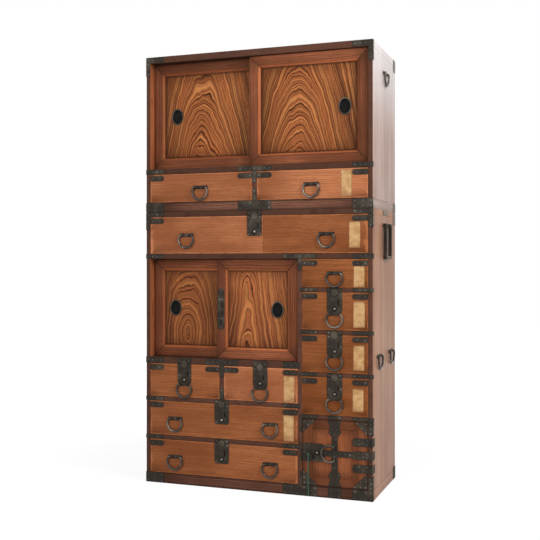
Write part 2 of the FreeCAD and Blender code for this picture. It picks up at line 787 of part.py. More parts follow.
def door_pair(section, low, high, left, right):
    """Two sliding doors that pass each other: the left one behind, the right one in front."""
    width = f"((({right}) - ({left}) + door_overlap) / 2 - door_side_gap)"
    height = f"(({high}) - ({low}) - door_foot_gap - door_head_gap)"
    foot = f"{low} + door_foot_gap"
    places = (("left", f"{left} + door_side_gap", rear_door, f"{section}_left_cup_inset"),
              ("right", f"{right} - door_side_gap - {width}", "door_recess",
               f"{width} - {section}_right_cup_inset"))
    for side, x, recess, cup_x in places:
        name = f"{section}_{side}_door"
        irons = sliding_door(name, x, foot, width, height, recess, cup_x)
        if name == "lower_right_door":
            irons += stile_lock(name + "_lock", f"{height} / 2")
        node(name + "_pull", irons, x, recess, foot)


door_pair("upper", upper_door, upper_door_top, f"-{inside}", inside)
door_pair("lower", lower_door, column_top, f"-{inside}", post_left)


# Safe door, made from the lower left front corner of its opening

safe_middle = "safe_height / 2"
hinge_x = f"({half_width} + iron - hinge_radius - {post_right})"
hinge_y = "(-hinge_radius - hinge_clearance)"
hinge_levels = [(name, f"({safe_middle} + hinge_spacing * {step})")
                for name, step in (("lower", -1), ("middle", 0), ("upper", 1))]
safe_face = "-safe_proud"
lock_face = "(-safe_proud - lock_thickness)"


def safe_leaf():
    """Stiles, rails and a panel set just below them."""
    left, right = "safe_gap", "column_width - safe_gap"
    low, high = "safe_gap", "safe_height - safe_gap"
    inner = (f"{left} + safe_stile", f"{right} - safe_stile")
    deep = (safe_face, "safe_thickness - safe_proud")
    panel_front = "safe_panel_set - safe_proud"
    return [
        box("safe_left_stile", (left, inner[0]), deep, (low, high)),
        box("safe_right_stile", (inner[1], right), deep, (low, high)),
        box("safe_foot_rail", inner, deep, (low, f"{low} + safe_rail")),
        box("safe_head_rail", inner, deep, (f"{high} - safe_rail", high)),
        box("safe_panel_board", inner, (panel_front, f"{panel_front} + safe_panel"),
            (f"{low} + safe_rail", f"{high} - safe_rail")),
    ]


def corner_triangles():
    """A plate over each corner of the leaf, the lower two larger."""
    edge = "safe_gap + iron_margin"
    hands = (("left", edge, "+"), ("right", f"column_width - ({edge})", "-"))
    levels = (("foot", edge, "+", "safe_foot_corner"),
              ("head", f"safe_height - ({edge})", "-", "safe_corner"))
    plates = []
    for side, x, out in hands:
        for level, z, up, size in levels:
            points = [(x, z), (f"{x} {out} {size}", z), (x, f"{z} {up} {size}")]
            plates.append(plate(f"safe_{level}_{side}_corner", points, "safe_iron", safe_face))
    return plates


def flared_strap():
    """The upright strap, waisted and bumped towards its flared ends."""
    middle = "column_width / 2"
    low, high = "safe_gap + iron_margin", "safe_height - safe_gap - iron_margin"
    profile = [("safe_flare_half", "0"), ("safe_waist_half", "safe_waist_rise"),
               ("safe_bump_half", "safe_bump_rise"), ("safe_strap_half", "safe_neck_rise")]
    right = [(f"{middle} + {half}", f"{low} + {rise}") for half, rise in profile]
    right += [(f"{middle} + {half}", f"{high} - {rise}") for half, rise in reversed(profile)]
    left = [(f"{middle} - {half}", f"{high} - {rise}") for half, rise in profile]
    left += [(f"{middle} - {half}", f"{low} + {rise}") for half, rise in reversed(profile)]
    return plate("safe_strap", right + left, "safe_iron", safe_face)


def hinge_strap(name, level):
    """A hinge strap on the leaf, narrowed to its knuckle."""
    start = "column_width - iron_reach"
    shoulder = f"{hinge_x} - hinge_radius - iron_margin"
    low, high = f"{level} - hinge_height / 2", f"{level} + hinge_height / 2"
    knuckle_low, knuckle_high = f"{level} - hinge_knuckle / 2", f"{level} + hinge_knuckle / 2"
    points = [(start, low), (shoulder, low), (shoulder, knuckle_low), (hinge_x, knuckle_low),
              (hinge_x, knuckle_high), (shoulder, knuckle_high), (shoulder, high), (start, high)]
    strap = plate(name + "_strap", points, "safe_iron", safe_face)
    end = value(start)
    rounded(strap, lambda a, b: through(a, b) and same(a.x, end), "hinge_round")
    foot = (hinge_x, hinge_y, knuckle_low)
    barrel = rod(name + "_barrel", "hinge_radius", "hinge_knuckle", *foot, Z_AXIS)
    bore = rod(name + "_bore", "hinge_pin_radius + pin_clearance", "hinge_knuckle", *foot, Z_AXIS)
    return cut(name, fused(name + "_blank", [strap, barrel]), [bore])


def hinge_leaf(name, level):
    """The case's half of a hinge: a leaf on the side, two knuckles and the pin."""
    low, high = f"{level} - hinge_height / 2", f"{level} + hinge_height / 2"
    knuckle = "(hinge_height / 2 - hinge_knuckle / 2 - hinge_knuckle_gap)"
    side = (f"{half_width} - {post_right}", f"{half_width} + iron - {post_right}")
    pieces = [box(name + "_leaf", side, ("0", "hinge_leaf"), (low, high)),
              rod(name + "_pin", "hinge_pin_radius", "hinge_height", hinge_x, hinge_y, low, Z_AXIS)]
    for end, foot in (("low", low), ("high", f"{high} - {knuckle}")):
        pieces.append(rod(f"{name}_{end}_knuckle", "hinge_radius", knuckle, hinge_x, hinge_y, foot, Z_AXIS))
        pieces.append(box(f"{name}_{end}_bend", side, (hinge_y, "0"), (foot, f"{foot} + {knuckle}")))
    return fused(name, pieces)


def safe_lock():
    """The lock plate with its keyhole, stud and staple."""
    left = "safe_gap + iron_margin"
    right = f"{left} + safe_lock_width"
    low, high = about(safe_middle, "safe_lock_height / 2")
    blank = plate("safe_lock_blank", [(left, low), (right, low), (right, high), (left, high)],
                  "lock_thickness", safe_face)
    end = value(right)
    rounded(blank, lambda a, b: through(a, b) and same(a.x, end), "lock_round")
    key = "(staple_inset + safe_stud_inset) / 2"
    slot_top = f"{safe_middle} - keyhole_width"
    keyhole = box("safe_keyhole", about(key, "keyhole_width / 2"), (lock_face, safe_face),
                  (f"{slot_top} - keyhole_height", slot_top))
    level = about(safe_middle, "staple_bar / 2")
    blank_bar = box("safe_staple_blank", about("staple_inset", "staple_half_width"),
                    ("-staple_reach", lock_face), level)
    gap = box("safe_staple_gap", about("staple_inset", "staple_half_width - staple_bar"),
              ("-staple_reach + staple_bar", lock_face), level)
    return [cut("safe_lock", blank, [keyhole]), stud("safe_stud", "safe_stud_inset", lock_face, safe_middle),
            cut("safe_staple", blank_bar, [gap])]


def cross_straps():
    """The level strap, in two lengths that butt against the upright one."""
    high = about(safe_middle, "safe_strap_half")
    deep = ("-safe_proud - safe_iron", safe_face)
    left, right = about("column_width / 2", "safe_strap_half")
    return [box("safe_left_cross", ("safe_gap + iron_margin + safe_lock_width", left), deep, high),
            box("safe_right_cross", (right, "column_width - iron_reach"), deep, high)]


SIDEWAYS = FreeCAD.Rotation(Y_AXIS, 90)
safe_ring_y = "-safe_proud - eye_standoff"
node("safe_door", safe_leaf(), post_right, "0", "base_height")
node("safe_door_irons", [
    *corner_triangles(),
    flared_strap(),
    *cross_straps(),
    *[hinge_strap(f"safe_{name}_hinge", level) for name, level in hinge_levels],
    *safe_lock(),
    group("safe_ring_mount", eyes("safe_ring", "eye_inner", "safe_iron"), "column_width / 2", safe_ring_y,
          safe_middle, SIDEWAYS),
], post_right, "0", "base_height")
node("safe_door_ring", [ring("safe_ring_bar", "pull_radius", "pull_drop", "pin_inner")],
     column_middle, safe_ring_y, f"base_height + {safe_middle}", SIDEWAYS)


# Irons on the case

def front_iron(name, across, high, thickness="iron"):
    """A flat plate on the front of the case."""
    return box(name, across, (f"-{thickness}", "0"), high)


def side_iron(name, hand, deep, high):
    """A flat plate on a side of the case."""
    return box(name, mirrored((half_width, f"{half_width} + iron"), hand), deep, high)


def band(low, high):
    """The height of an iron that keeps clear of a rail's edges."""
    return (f"{low} + iron_margin", f"{high} - iron_margin")


def corner_strap(name, hand, high, arm=None):
    """An iron that wraps a front corner of the case, with an arm along the side board if given."""
    pieces = [front_iron(name + "_front", mirrored((f"{inside} - iron_reach", half_width), hand), high)]
    tall = high
    if arm:
        pieces.append(front_iron(name + "_arm", mirrored((inside, half_width), hand), arm))
        tall = (arm[0], high[1]) if value(arm[0]) < value(high[0]) else (high[0], arm[1])
    pieces.append(side_iron(name + "_side", hand, ("-iron", "iron_wrap"), tall))
    return fused(name, pieces)


SIDE_TURNS = {"right": FreeCAD.Rotation(Z_AXIS, 90), "left": FreeCAD.Rotation(Z_AXIS, -90)}
SIDE_HANDS = (("left", -1), ("right", 1))


def corner_straps(name, high, arm=None):
    return [corner_strap(f"{name}_{side}", hand, high, arm) for side, hand in SIDE_HANDS]


def rear_irons(name, high):
    """A plate at the rear edge of each side of the case."""
    return [side_iron(f"{name}_{side}", hand, ("case_depth - rear_iron_depth", "case_depth"), high)
            for side, hand in SIDE_HANDS]


def tee(name, across, high, stem_across, stem):
    """A plate along a rail with a stem along a divider."""
    bar = front_iron(name + "_bar", across, high)
    return fused(name, [bar, front_iron(name + "_stem", stem_across, stem)])


def strike(name, middle, low, high):
    """The fixed half of a lock, on the rail above its drawer."""
    tall = (low, f"{high} - iron_margin")
    return front_iron(name, about(middle, "lock_half_width"), tall, "strike_thickness")


def carry_mount(name, side, hand, level, depth):
    """Eyes and plate of a carrying ring on a side of the case."""
    pieces = [*eyes(name, "carry_eye_inner", "iron"), ring_plate(name, "carry_radius", "iron")]
    return group(name + "_mount", pieces, f"{hand} * ({half_width} + eye_standoff)", depth, level,
                 SIDE_TURNS[side])


divider_stem = about("0", "divider_thickness / 2")
divider_bar = about("0", "divider_thickness / 2 + iron_reach")
upper_sill_band = band(upper_drawer_top, upper_door)
upper_base_band = band(lower_top_level, upper_drawer)
node("upper_case_irons", [
    *corner_straps("upper_top_corner", band(upper_door_top, upper_top_level),
                   (f"{upper_door_top} - corner_arm", f"{upper_door_top} + iron_margin")),
    *corner_straps("upper_sill_strap", upper_sill_band),
    *corner_straps("upper_base_strap", upper_base_band),
    *rear_irons("upper_top_rear", band(f"{upper_top_level} - rear_iron_height", upper_top_level)),
    *rear_irons("upper_base_rear", upper_base_band),
    tee("upper_divider_head", divider_bar, upper_sill_band, divider_stem,
        (f"{upper_drawer_top} - stem_length", f"{upper_drawer_top} + iron_margin")),
    tee("upper_divider_foot", divider_bar, upper_base_band, divider_stem,
        (f"{upper_drawer} - iron_margin", f"{upper_drawer} + stem_length")),
    *[carry_mount(f"{side}_upper_ring", side, hand, upper_ring_level, "upper_ring_depth")
      for side, hand in SIDE_HANDS],
])


def block_irons(name, low, high):
    """Irons at the two ends of a rail in the left block."""
    return [corner_strap(name + "_left", -1, band(low, high)),
            front_iron(name + "_right", (f"{post_left} - iron_reach", post_middle), band(low, high))]


def column_irons(name, low, high):
    """Irons at the two ends of a rail in the right column."""
    return [front_iron(name + "_left", (post_middle, f"{post_right} + iron_reach"), band(low, high)),
            corner_strap(name + "_right", 1, band(low, high))]


def safe_frame_irons():
    """Irons round the safe door: angles at the corners, plates in line with the strap, the strike."""
    post_half = (post_middle, post_right)
    lid = band(safe_top, col4)
    foot = band("0", "base_height")
    return [
        tee("safe_lid_left", (post_middle, f"{post_right} + iron_reach"), lid, post_half,
            (f"{safe_top} - safe_arm", f"{safe_top} + iron_margin")),
        corner_strap("safe_lid_right", 1, lid, (f"{safe_top} - safe_arm", f"{safe_top} + iron_margin")),
        front_iron("safe_lid_middle", about(column_middle, "safe_flare_half"), lid),
        tee("safe_foot_left", (f"{post_left} - iron_reach", f"{post_right} + iron_reach"), foot, post_half,
            ("base_height - iron_margin", "base_height + safe_arm")),
        corner_strap("safe_foot_right", 1, foot, ("base_height - iron_margin", "base_height + safe_arm")),
        front_iron("safe_foot_middle", about(column_middle, "safe_flare_half"), foot),
        front_iron("safe_strike", post_half, about(f"base_height + {safe_middle}", "safe_lock_height / 2")),
        group("safe_hinge_leaves", [hinge_leaf(f"safe_{name}_leaf", level) for name, level in hinge_levels],
              post_right, "0", "base_height"),
    ]


def pole_mount(side, hand):
    """Eyes and plate of a pole handle."""
    name = f"{side}_pole"
    inner = "pole_half_width - pole_bar - pole_eye_gap - pole_eye_width"
    pieces = [eye(f"{name}_{end}_eye", start, "pole_eye_width", "pole_eye_radius", "pole_pin_radius",
                  "pole_standoff", "iron")
              for end, start in (("right", inner), ("left", f"-({inner} + pole_eye_width)"))]
    pieces.append(box(name + "_plate", about("0", "pole_half_width"),
                      ("pole_standoff - iron", "pole_standoff"), about("0", "pole_eye_radius + iron_margin")))
    return group(name + "_mount", pieces, f"{hand} * ({half_width} + pole_standoff)", "pole_depth",
                 pole_level, SIDE_TURNS[side])


def section_clip(side, hand):
    """A small plate on the side, under the seam between the sections."""
    return side_iron(f"{side}_clip", hand, about("pole_depth", "clip_half_width"),
                     band(wide_top, lower_top_level))


block_bar = about(block_middle, "divider_thickness / 2 + iron_reach")
block_stem = about(block_middle, "divider_thickness / 2")
locks = (("wide", "0", wide_top, lower_top_level),
         ("long_upper", block_middle, long_upper_top, small),
         ("long_lower", block_middle, long_lower_top, long_upper),
         ("small_left", f"(-{inside} + {small_width} / 2)", small_top, lower_door),
         ("small_right", f"({post_left} - {small_width} / 2)", small_top, lower_door),
         ("column_2", column_middle, col2_top, col1),
         ("column_3", column_middle, col3_top, col2),
         ("column_4", column_middle, col4_top, col3))
node("lower_case_irons", [
    *corner_straps("lower_top_corner", band(wide_top, lower_top_level),
                   (f"{wide_top} - corner_arm", f"{wide_top} + iron_margin")),
    *corner_straps("shelf_strap", band(column_top, wide)),
    tee("post_head", (f"{post_left} - iron_reach", f"{post_right} + iron_reach"), band(column_top, wide),
        (post_left, post_right), (f"{column_top} - stem_length", f"{column_top} + iron_margin")),
    tee("small_divider_head", block_bar, band(small_top, lower_door), block_stem,
        (f"{small_top} - stem_length", f"{small_top} + iron_margin")),
    front_iron("small_divider_foot", block_stem, (small, f"{small} + stem_length")),
    *block_irons("lower_sill_iron", small_top, lower_door),
    *block_irons("long_rail_upper_iron", long_upper_top, small),
    *block_irons("long_rail_lower_iron", long_lower_top, long_upper),
    *column_irons("column_rail_2_iron", col2_top, col1),
    *column_irons("column_rail_3_iron", col3_top, col2),
    *column_irons("column_rail_4_iron", col4_top, col3),
    corner_strap("lower_base_left", -1, band("0", "base_height")),
    *rear_irons("lower_base_rear", band("0", "rear_iron_height")),
    *rear_irons("lower_top_rear", band(f"{lower_top_level} - rear_iron_height", lower_top_level)),
    *safe_frame_irons(),
    *[strike(f"{name}_strike", middle, low, high) for name, middle, low, high in locks],
    *[carry_mount(f"{side}_lower_{end}_ring", side, hand, "lower_ring_level", f"lower_ring_{end}")
      for side, hand in SIDE_HANDS for end in ("front", "back")],
    *[pole_mount(side, hand) for side, hand in SIDE_HANDS],
    *[section_clip(side, hand) for side, hand in SIDE_HANDS],
])


# Carrying rings and pole handles

def pole_handle(name):
    """A square bar bent to a U, with two pins that turn inwards into the eyes."""
    outer, inner = "pole_half_width", "(pole_half_width - pole_bar)"
    top, low, floor = "pole_end", "-pole_drop", "(pole_bar - pole_drop)"
    points = [(f"-{outer}", top), (f"-{outer}", low), (outer, low), (outer, top),
              (inner, top), (inner, floor), (f"-{inner}", floor), (f"-{inner}", top)]
    body = plate(name, points, "pole_bar")
    body.Tip.SideType = "Symmetric"
    foot, hollow = value(low), value(floor)
    rounded(body, lambda a, b: through(a, b) and same(a.z, foot), "pole_round")
    rounded(body, lambda a, b: through(a, b) and same(a.z, hollow), "pole_round - pole_bar")
    reach = "(pole_eye_gap + pole_eye_width)"
    for side, start in (("right", f"{inner} - {reach}"), ("left", f"-{inner} - pole_bar / 2")):
        pin = body.newObject("PartDesign::AdditiveCylinder", f"{name}_{side}_pin")
        bind(pin, Radius="pole_pin_radius", Height=f"{reach} + pole_bar / 2")
        place(pin, start, turn=FreeCAD.Rotation(Z_AXIS, X_AXIS))
        body.Tip = pin
    return body


def carry_ring(name):
    return ring(name, "carry_radius", "carry_drop", "carry_pin_inner")


for side, hand in SIDE_HANDS:
    turn = SIDE_TURNS[side]
    ring_x = f"{hand} * ({half_width} + eye_standoff)"
    node(f"{side}_pole_handle", [pole_handle(f"{side}_pole_bar")],
         f"{hand} * ({half_width} + pole_standoff)", "pole_depth", pole_level, turn)
    node(f"{side}_upper_ring", [carry_ring(f"{side}_upper_ring_bar")],
         ring_x, "upper_ring_depth", upper_ring_level, turn)
    pair = [group(f"{side}_lower_{end}_ring_place", [carry_ring(f"{side}_lower_{end}_ring_bar")],
                  f"{hand} * lower_ring_{end}") for end in ("front", "back")]
    node(f"{side}_lower_rings", pair, ring_x, "0", "lower_ring_level", turn)


# The cord that hangs from the safe lock's staple. Its points are offsets from the staple's underside.

CORD_ROUTE = ((0, 0, 0), (0, 0, -36), (-0.8, 0.5, -76), (0.5, -0.3, -118), (0.2, 0, -156))
ARC_SHARE = 0.45


def cord():
    """A limp cord: straight runs joined by arcs as large as the runs allow."""
    doc.recompute()
    start = FreeCAD.Vector(value(f"{post_right} + staple_inset"), value("staple_bar / 2 - staple_reach"),
                           value(f"base_height + {safe_middle} - staple_bar / 2"))
    points = [start + FreeCAD.Vector(*offset) for offset in CORD_ROUTE]
    edges = []
    last = points[0]
    for before, corner, after in zip(points, points[1:], points[2:]):
        back = (before - corner).normalize()
        ahead = (after - corner).normalize()
        setback = ARC_SHARE * min((before - corner).Length, (after - corner).Length)
        turn = math.pi - back.getAngle(ahead)
        radius = setback / math.tan(turn / 2)
        print("cord bend radius", round(radius, 1), "mm")
        into, out = corner + back * setback, corner + ahead * setback
        bisector = (back + ahead).normalize()
        crown = corner + bisector * (radius / math.cos(turn / 2) - radius)
        edges.append(Part.LineSegment(last, into).toShape())
        edges.append(Part.Arc(into, crown, out).toShape())
        last = out
    edges.append(Part.LineSegment(last, points[-1]).toShape())
    path = Part.Wire(edges)
    along = points[1] - points[0]
    section = Part.Wire([Part.Circle(points[0], along, value("cord_radius")).toShape()])
    tube = path.makePipeShell([section], True, False)
    expected = math.pi * value("cord_radius") ** 2 * path.Length
    print("cord length", round(path.Length, 1), "mm, volume over expected", round(tube.Volume / expected, 4))
    strand = doc.addObject("Part::Feature", "lock_cord_strand")
    strand.Shape = tube
    return strand


node("lock_cord", [cord()])

doc.recompute()
for thing in doc.Objects:
    if {"Invalid", "Error"} & set(thing.State):
        raise RuntimeError(f"{thing.Name} failed: {thing.State}")
for piece in nodes:
    if piece.Shape.isNull() or not piece.Shape.isValid() or not piece.Shape.Solids:
        raise RuntimeError(f"{piece.Label} has no valid shape")
os.makedirs("parts", exist_ok=True)
for piece in nodes:
    piece.Shape.exportStep(f"parts/{piece.Label}.step")
print(len(nodes), "sub-parts written")
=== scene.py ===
# %% [markdown]
# # A merchant's chest in wood and iron
# The chest is two stacked sections of boards with drawers, sliding doors, a small iron-bound safe door
# and forged ring pulls. The frame brings in its exact boards and irons; this lesson gives them wood,
# iron, paper and wear, and some painted shade and sheen. We load the frame first.

# %% Load the frame
import json
import math
import random

import bmesh
import bpy
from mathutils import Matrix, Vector


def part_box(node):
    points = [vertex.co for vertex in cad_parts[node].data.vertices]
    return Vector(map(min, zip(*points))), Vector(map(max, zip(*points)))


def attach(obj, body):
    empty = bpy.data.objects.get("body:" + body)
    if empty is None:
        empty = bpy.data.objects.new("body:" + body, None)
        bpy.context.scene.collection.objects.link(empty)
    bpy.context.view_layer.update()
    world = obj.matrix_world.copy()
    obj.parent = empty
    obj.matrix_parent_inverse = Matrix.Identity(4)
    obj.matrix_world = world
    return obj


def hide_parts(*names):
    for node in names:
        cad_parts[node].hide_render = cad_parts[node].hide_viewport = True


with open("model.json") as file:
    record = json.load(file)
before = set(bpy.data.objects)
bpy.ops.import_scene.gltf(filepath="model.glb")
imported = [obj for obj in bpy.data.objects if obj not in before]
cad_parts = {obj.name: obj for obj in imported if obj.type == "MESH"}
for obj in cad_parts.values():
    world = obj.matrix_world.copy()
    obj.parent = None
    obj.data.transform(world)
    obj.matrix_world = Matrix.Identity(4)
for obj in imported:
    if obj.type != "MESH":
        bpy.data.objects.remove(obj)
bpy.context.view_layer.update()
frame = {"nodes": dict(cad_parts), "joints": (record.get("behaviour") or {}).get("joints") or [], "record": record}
scene = bpy.context.scene
MM = 0.001
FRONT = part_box("upper_case")[0].y
HALF_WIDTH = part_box("upper_case")[1].x
LOWER_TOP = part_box("lower_case")[1].z
X_WAY, Y_WAY, Z_WAY = Vector((1, 0, 0)), Vector((0, 1, 0)), Vector((0, 0, 1))
FORWARD = Vector((0, -1, 0))
# How far along an axis a direction must point to count as going that way mostly, nearly or squarely.
MOSTLY, NEARLY, SQUARELY = 0.5, 0.9, 0.99
print("nodes:", len(frame["nodes"]), "front plane at", round(FRONT, 4))

# %% [markdown]
# The photograph's upright edges stay parallel, so its camera stood level and the picture was shifted a
# little. Two vanishing lines give the turn and the distance. A level camera with a small shift repeats
# that, where a tilted camera would make the uprights lean.

# %% Camera
SENSOR, LENS = 36, 59.5
SHIFT_UP = -0.0157
TURN = math.radians(19.63)
CAMERA_RIGHT, CAMERA_AWAY, CAMERA_HEIGHT = 1.186, 3.152, 0.867

lens = bpy.data.cameras.new("photograph_camera")
lens.sensor_width = SENSOR
lens.lens = LENS
lens.shift_y = SHIFT_UP
camera = bpy.data.objects.new("photograph_camera", lens)
camera.location = (CAMERA_RIGHT, FRONT - CAMERA_AWAY, CAMERA_HEIGHT)
camera.rotation_euler = (math.pi / 2, 0, TURN)
scene.collection.objects.link(camera)
scene.camera = camera
print("camera at", tuple(round(c, 3) for c in camera.location))

# %% [markdown]
# Small helpers come next. A node tree is a list of nodes and wires, so short functions keep the recipes
# below readable: they add a node, wire it, do a sum, mix colours, read a fact stored on the mesh or make
# a soft step.

# %% Node helpers
WHITE = (1, 1, 1, 1)
# A Mix node gives the same names to the sockets of every kind of value, so those for colours go by number.
MIX_FACTOR, MIX_FIRST, MIX_SECOND, MIX_RESULT = 0, 6, 7, 2


def add(tree, kind, **settings):
    """Add a node and set its properties and input values by name."""
    node = tree.nodes.new(kind)
    for name, value in settings.items():
        if hasattr(node, name):
            setattr(node, name, value)
        else:
            node.inputs[name.replace("_", " ")].default_value = value
    return node


def feed(tree, socket, source):
    """Wire a source into a socket, or set the socket where the source is a plain value."""
    if isinstance(source, bpy.types.NodeSocket):
        tree.links.new(source, socket)
    else:
        socket.default_value = source


def arithmetic(kind):
    """A function that adds one kind of Math node to a tree and gives its result."""
    def result(tree, *sources, clamp=False):
        node = add(tree, "ShaderNodeMath", operation=kind, use_clamp=clamp)
        for socket, source in zip(node.inputs, sources):
            feed(tree, socket, source)
        return node.outputs[0]
    return result


plus, minus, times, over = map(arithmetic, ("ADD", "SUBTRACT", "MULTIPLY", "DIVIDE"))
most, unsigned, root, fraction = map(arithmetic, ("MAXIMUM", "ABSOLUTE", "SQRT", "FRACT"))
is_more = arithmetic("GREATER_THAN")


def blend(tree, factor, first, second, mode="MIX"):
    node = add(tree, "ShaderNodeMix", data_type="RGBA", blend_type=mode)
    feed(tree, node.inputs[MIX_FACTOR], factor)
    feed(tree, node.inputs[MIX_FIRST], first)
    feed(tree, node.inputs[MIX_SECOND], second)
    return node.outputs[MIX_RESULT]


def tint(tree, base, colour, mask, share):
    """Lay a colour over a base where the mask is high, at a share of its strength."""
    return blend(tree, times(tree, mask, share), base, colour)


def noise(tree, vector, scale, detail=2.0, roughness=0.5):
    """Noise in space. Three scales, one for each axis, squeeze it or draw it out."""
    if isinstance(scale, tuple):
        stretched = add(tree, "ShaderNodeVectorMath", operation="MULTIPLY")
        feed(tree, stretched.inputs[0], vector)
        stretched.inputs[1].default_value = scale
        vector, scale = stretched.outputs[0], 1.0
    node = add(tree, "ShaderNodeTexNoise", Detail=detail, Roughness=roughness)
    feed(tree, node.inputs["Scale"], scale)
    feed(tree, node.inputs["Vector"], vector)
    return node.outputs[0]


def steps(tree, value, low, high):
    """A soft step from 0 at low to 1 at high."""
    node = add(tree, "ShaderNodeMapRange", interpolation_type="SMOOTHSTEP")
    for socket, source in (("Value", value), ("From Min", low), ("From Max", high)):
        feed(tree, node.inputs[socket], source)
    return node.outputs[0]


def stored(tree, name, output="Vector"):
    """A fact stored on the points of the mesh."""
    return add(tree, "ShaderNodeAttribute", attribute_name=name).outputs[output]


def split(tree, vector):
    node = add(tree, "ShaderNodeSeparateXYZ")
    feed(tree, node.inputs[0], vector)
    return node.outputs


def here(tree):
    """The place on the object, in its own measure."""
    return add(tree, "ShaderNodeTexCoord").outputs["Object"]


def new_group(name, inputs, outputs):
    """An empty shader group of numbers: the tree, the sockets of what is given and those of the results."""
    tree = bpy.data.node_groups.new(name, "ShaderNodeTree")
    for socket, value in inputs.items():
        made = tree.interface.new_socket(socket, in_out="INPUT", socket_type="NodeSocketFloat")
        made.default_value = value
    for socket in outputs:
        tree.interface.new_socket(socket, in_out="OUTPUT", socket_type="NodeSocketFloat")
    return tree, tree.nodes.new("NodeGroupInput").outputs, tree.nodes.new("NodeGroupOutput").inputs


def place_group(tree, group, **values):
    node = tree.nodes.new("ShaderNodeGroup")
    node.node_tree = group
    for name, value in values.items():
        feed(tree, node.inputs[name.replace("_", " ")], value)
    return node.outputs


def rgb(red, green, blue):
    """A colour as a paint chart gives it (0 to 255), turned into the linear numbers that shaders use."""
    return tuple(((c / 255 + 0.055) / 1.055) ** 2.4 if c > 10 else c / 255 / 12.92
                 for c in (red, green, blue)) + (1.0,)


def finish_of(name, **constants):
    """A material with a Principled shader whose constant inputs are set on its own sockets."""
    material = bpy.data.materials.new(name)
    material.use_nodes = True
    tree = material.node_tree
    shader = tree.nodes["Principled BSDF"]
    for socket, value in constants.items():
        shader.inputs[socket.replace("_", " ")].default_value = value
    return material, tree, shader


def bump(tree, shader, height, distance, strength=1.0):
    node = add(tree, "ShaderNodeBump", Strength=strength, Distance=distance)
    feed(tree, node.inputs["Height"], height)
    tree.links.new(node.outputs[0], shader.inputs["Normal"])


# %% [markdown]
# A limp green cord hangs from the staple of the safe lock almost to the floor. Its route is a smooth
# NURBS line guided by a few points. A real cord is laid from three twisted strands, so a three-lobed
# section turns as it is swept along that line, and swells near the top, where the cord is knotted to the
# staple.

# %% Cord on the safe lock
CORD_START = Vector((0.215, FRONT - 0.010, 0.162))
CORD_ROUTE = ((0, 0, 0), (0, 0, -0.036), (-0.0008, 0.0005, -0.076), (0.0005, -0.0003, -0.118),
              (0.0002, 0, -0.156))
CORD_RADIUS = 0.0025
CORD_STRANDS, STRAND_BULGE, CORD_LAY = 3, 0.14, 0.014
KNOT_DOWN, KNOT_HALF, KNOT_SWELL = 0.005, 0.0045, 0.8
TUBE_SIDES = 18


def cord_line():
    """Points along the smooth line of the route."""
    curve = bpy.data.curves.new("cord_route", "CURVE")
    curve.dimensions = "3D"
    curve.resolution_u = 16
    spline = curve.splines.new("NURBS")
    spline.points.add(len(CORD_ROUTE) - 1)
    for point, offset in zip(spline.points, CORD_ROUTE):
        point.co = (*(CORD_START + Vector(offset)), 1)
    spline.order_u = 3
    spline.use_endpoint_u = True
    guide = bpy.data.objects.new("cord_route", curve)
    scene.collection.objects.link(guide)
    line = bpy.data.meshes.new_from_object(guide)
    points = [vertex.co.copy() for vertex in line.vertices]
    bpy.data.objects.remove(guide)
    bpy.data.meshes.remove(line)
    return points


def new_piece(name, mesh, body, *materials):
    """Put a finished mesh into the scene on the body that carries it."""
    piece = bpy.data.objects.new(name, mesh)
    scene.collection.objects.link(piece)
    for material in materials:
        mesh.materials.append(material)
    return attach(piece, body)


def smooth_mesh(name, build):
    """Turn a bmesh into a smooth mesh and free it."""
    mesh = bpy.data.meshes.new(name)
    build.to_mesh(mesh)
    build.free()
    mesh.shade_smooth()
    return mesh


def swept(points, section):
    """A closed tube along points. section(index, angle) gives the radius there."""
    build = bmesh.new()
    ahead = FORWARD if abs((points[1] - points[0]).normalized().y) < NEARLY else X_WAY
    loops = []
    for index, point in enumerate(points):
        start, end = points[max(index - 1, 0)], points[min(index + 1, len(points) - 1)]
        along = (end - start).normalized()
        right = ahead.cross(along).normalized()
        ahead = along.cross(right).normalized()
        loop = []
        for side in range(TUBE_SIDES):
            angle = math.tau * side / TUBE_SIDES
            outward = right * math.cos(angle) + ahead * math.sin(angle)
            loop.append(build.verts.new(point + outward * section(index, angle)))
        loops.append(loop)
    for first, second in zip(loops, loops[1:]):
        for side in range(TUBE_SIDES):
            following = (side + 1) % TUBE_SIDES
            build.faces.new((first[side], first[following], second[following], second[side]))
    build.faces.new(reversed(loops[0]))
    build.faces.new(loops[-1])
    bmesh.ops.recalc_face_normals(build, faces=build.faces)
    return smooth_mesh("swept", build)


def cord_finish():
    material, tree, shader = finish_of("faded_green_cord", Roughness=0.9, Sheen_Weight=0.3)
    worn = steps(tree, noise(tree, here(tree), 90, 4), 0.35, 0.7)
    feed(tree, shader.inputs["Base Color"], blend(tree, worn, rgb(26, 70, 49), rgb(54, 98, 73)))
    bump(tree, shader, noise(tree, here(tree), 1400, 2), 0.0003)
    return material


line = cord_line()
travelled = [0.0]
for first, second in zip(line, line[1:]):
    travelled.append(travelled[-1] + (second - first).length)


def laid_strands(index, angle):
    twist = math.tau * travelled[index] / CORD_LAY
    knot = KNOT_SWELL * math.exp(-((travelled[index] - KNOT_DOWN) / KNOT_HALF) ** 2)
    strands = STRAND_BULGE * math.cos(CORD_STRANDS * (angle - twist))
    return CORD_RADIUS * (1 - STRAND_BULGE + strands + knot)


cord_mesh = swept(line, laid_strands)
green = cord_finish()
cord = new_piece("lock_cord_strands", cord_mesh, "safe_door", green)
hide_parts("lock_cord")
[tuple(point) for point in line]
print("cord:", round(travelled[-1], 4), "m,", len(cord_mesh.polygons), "faces")

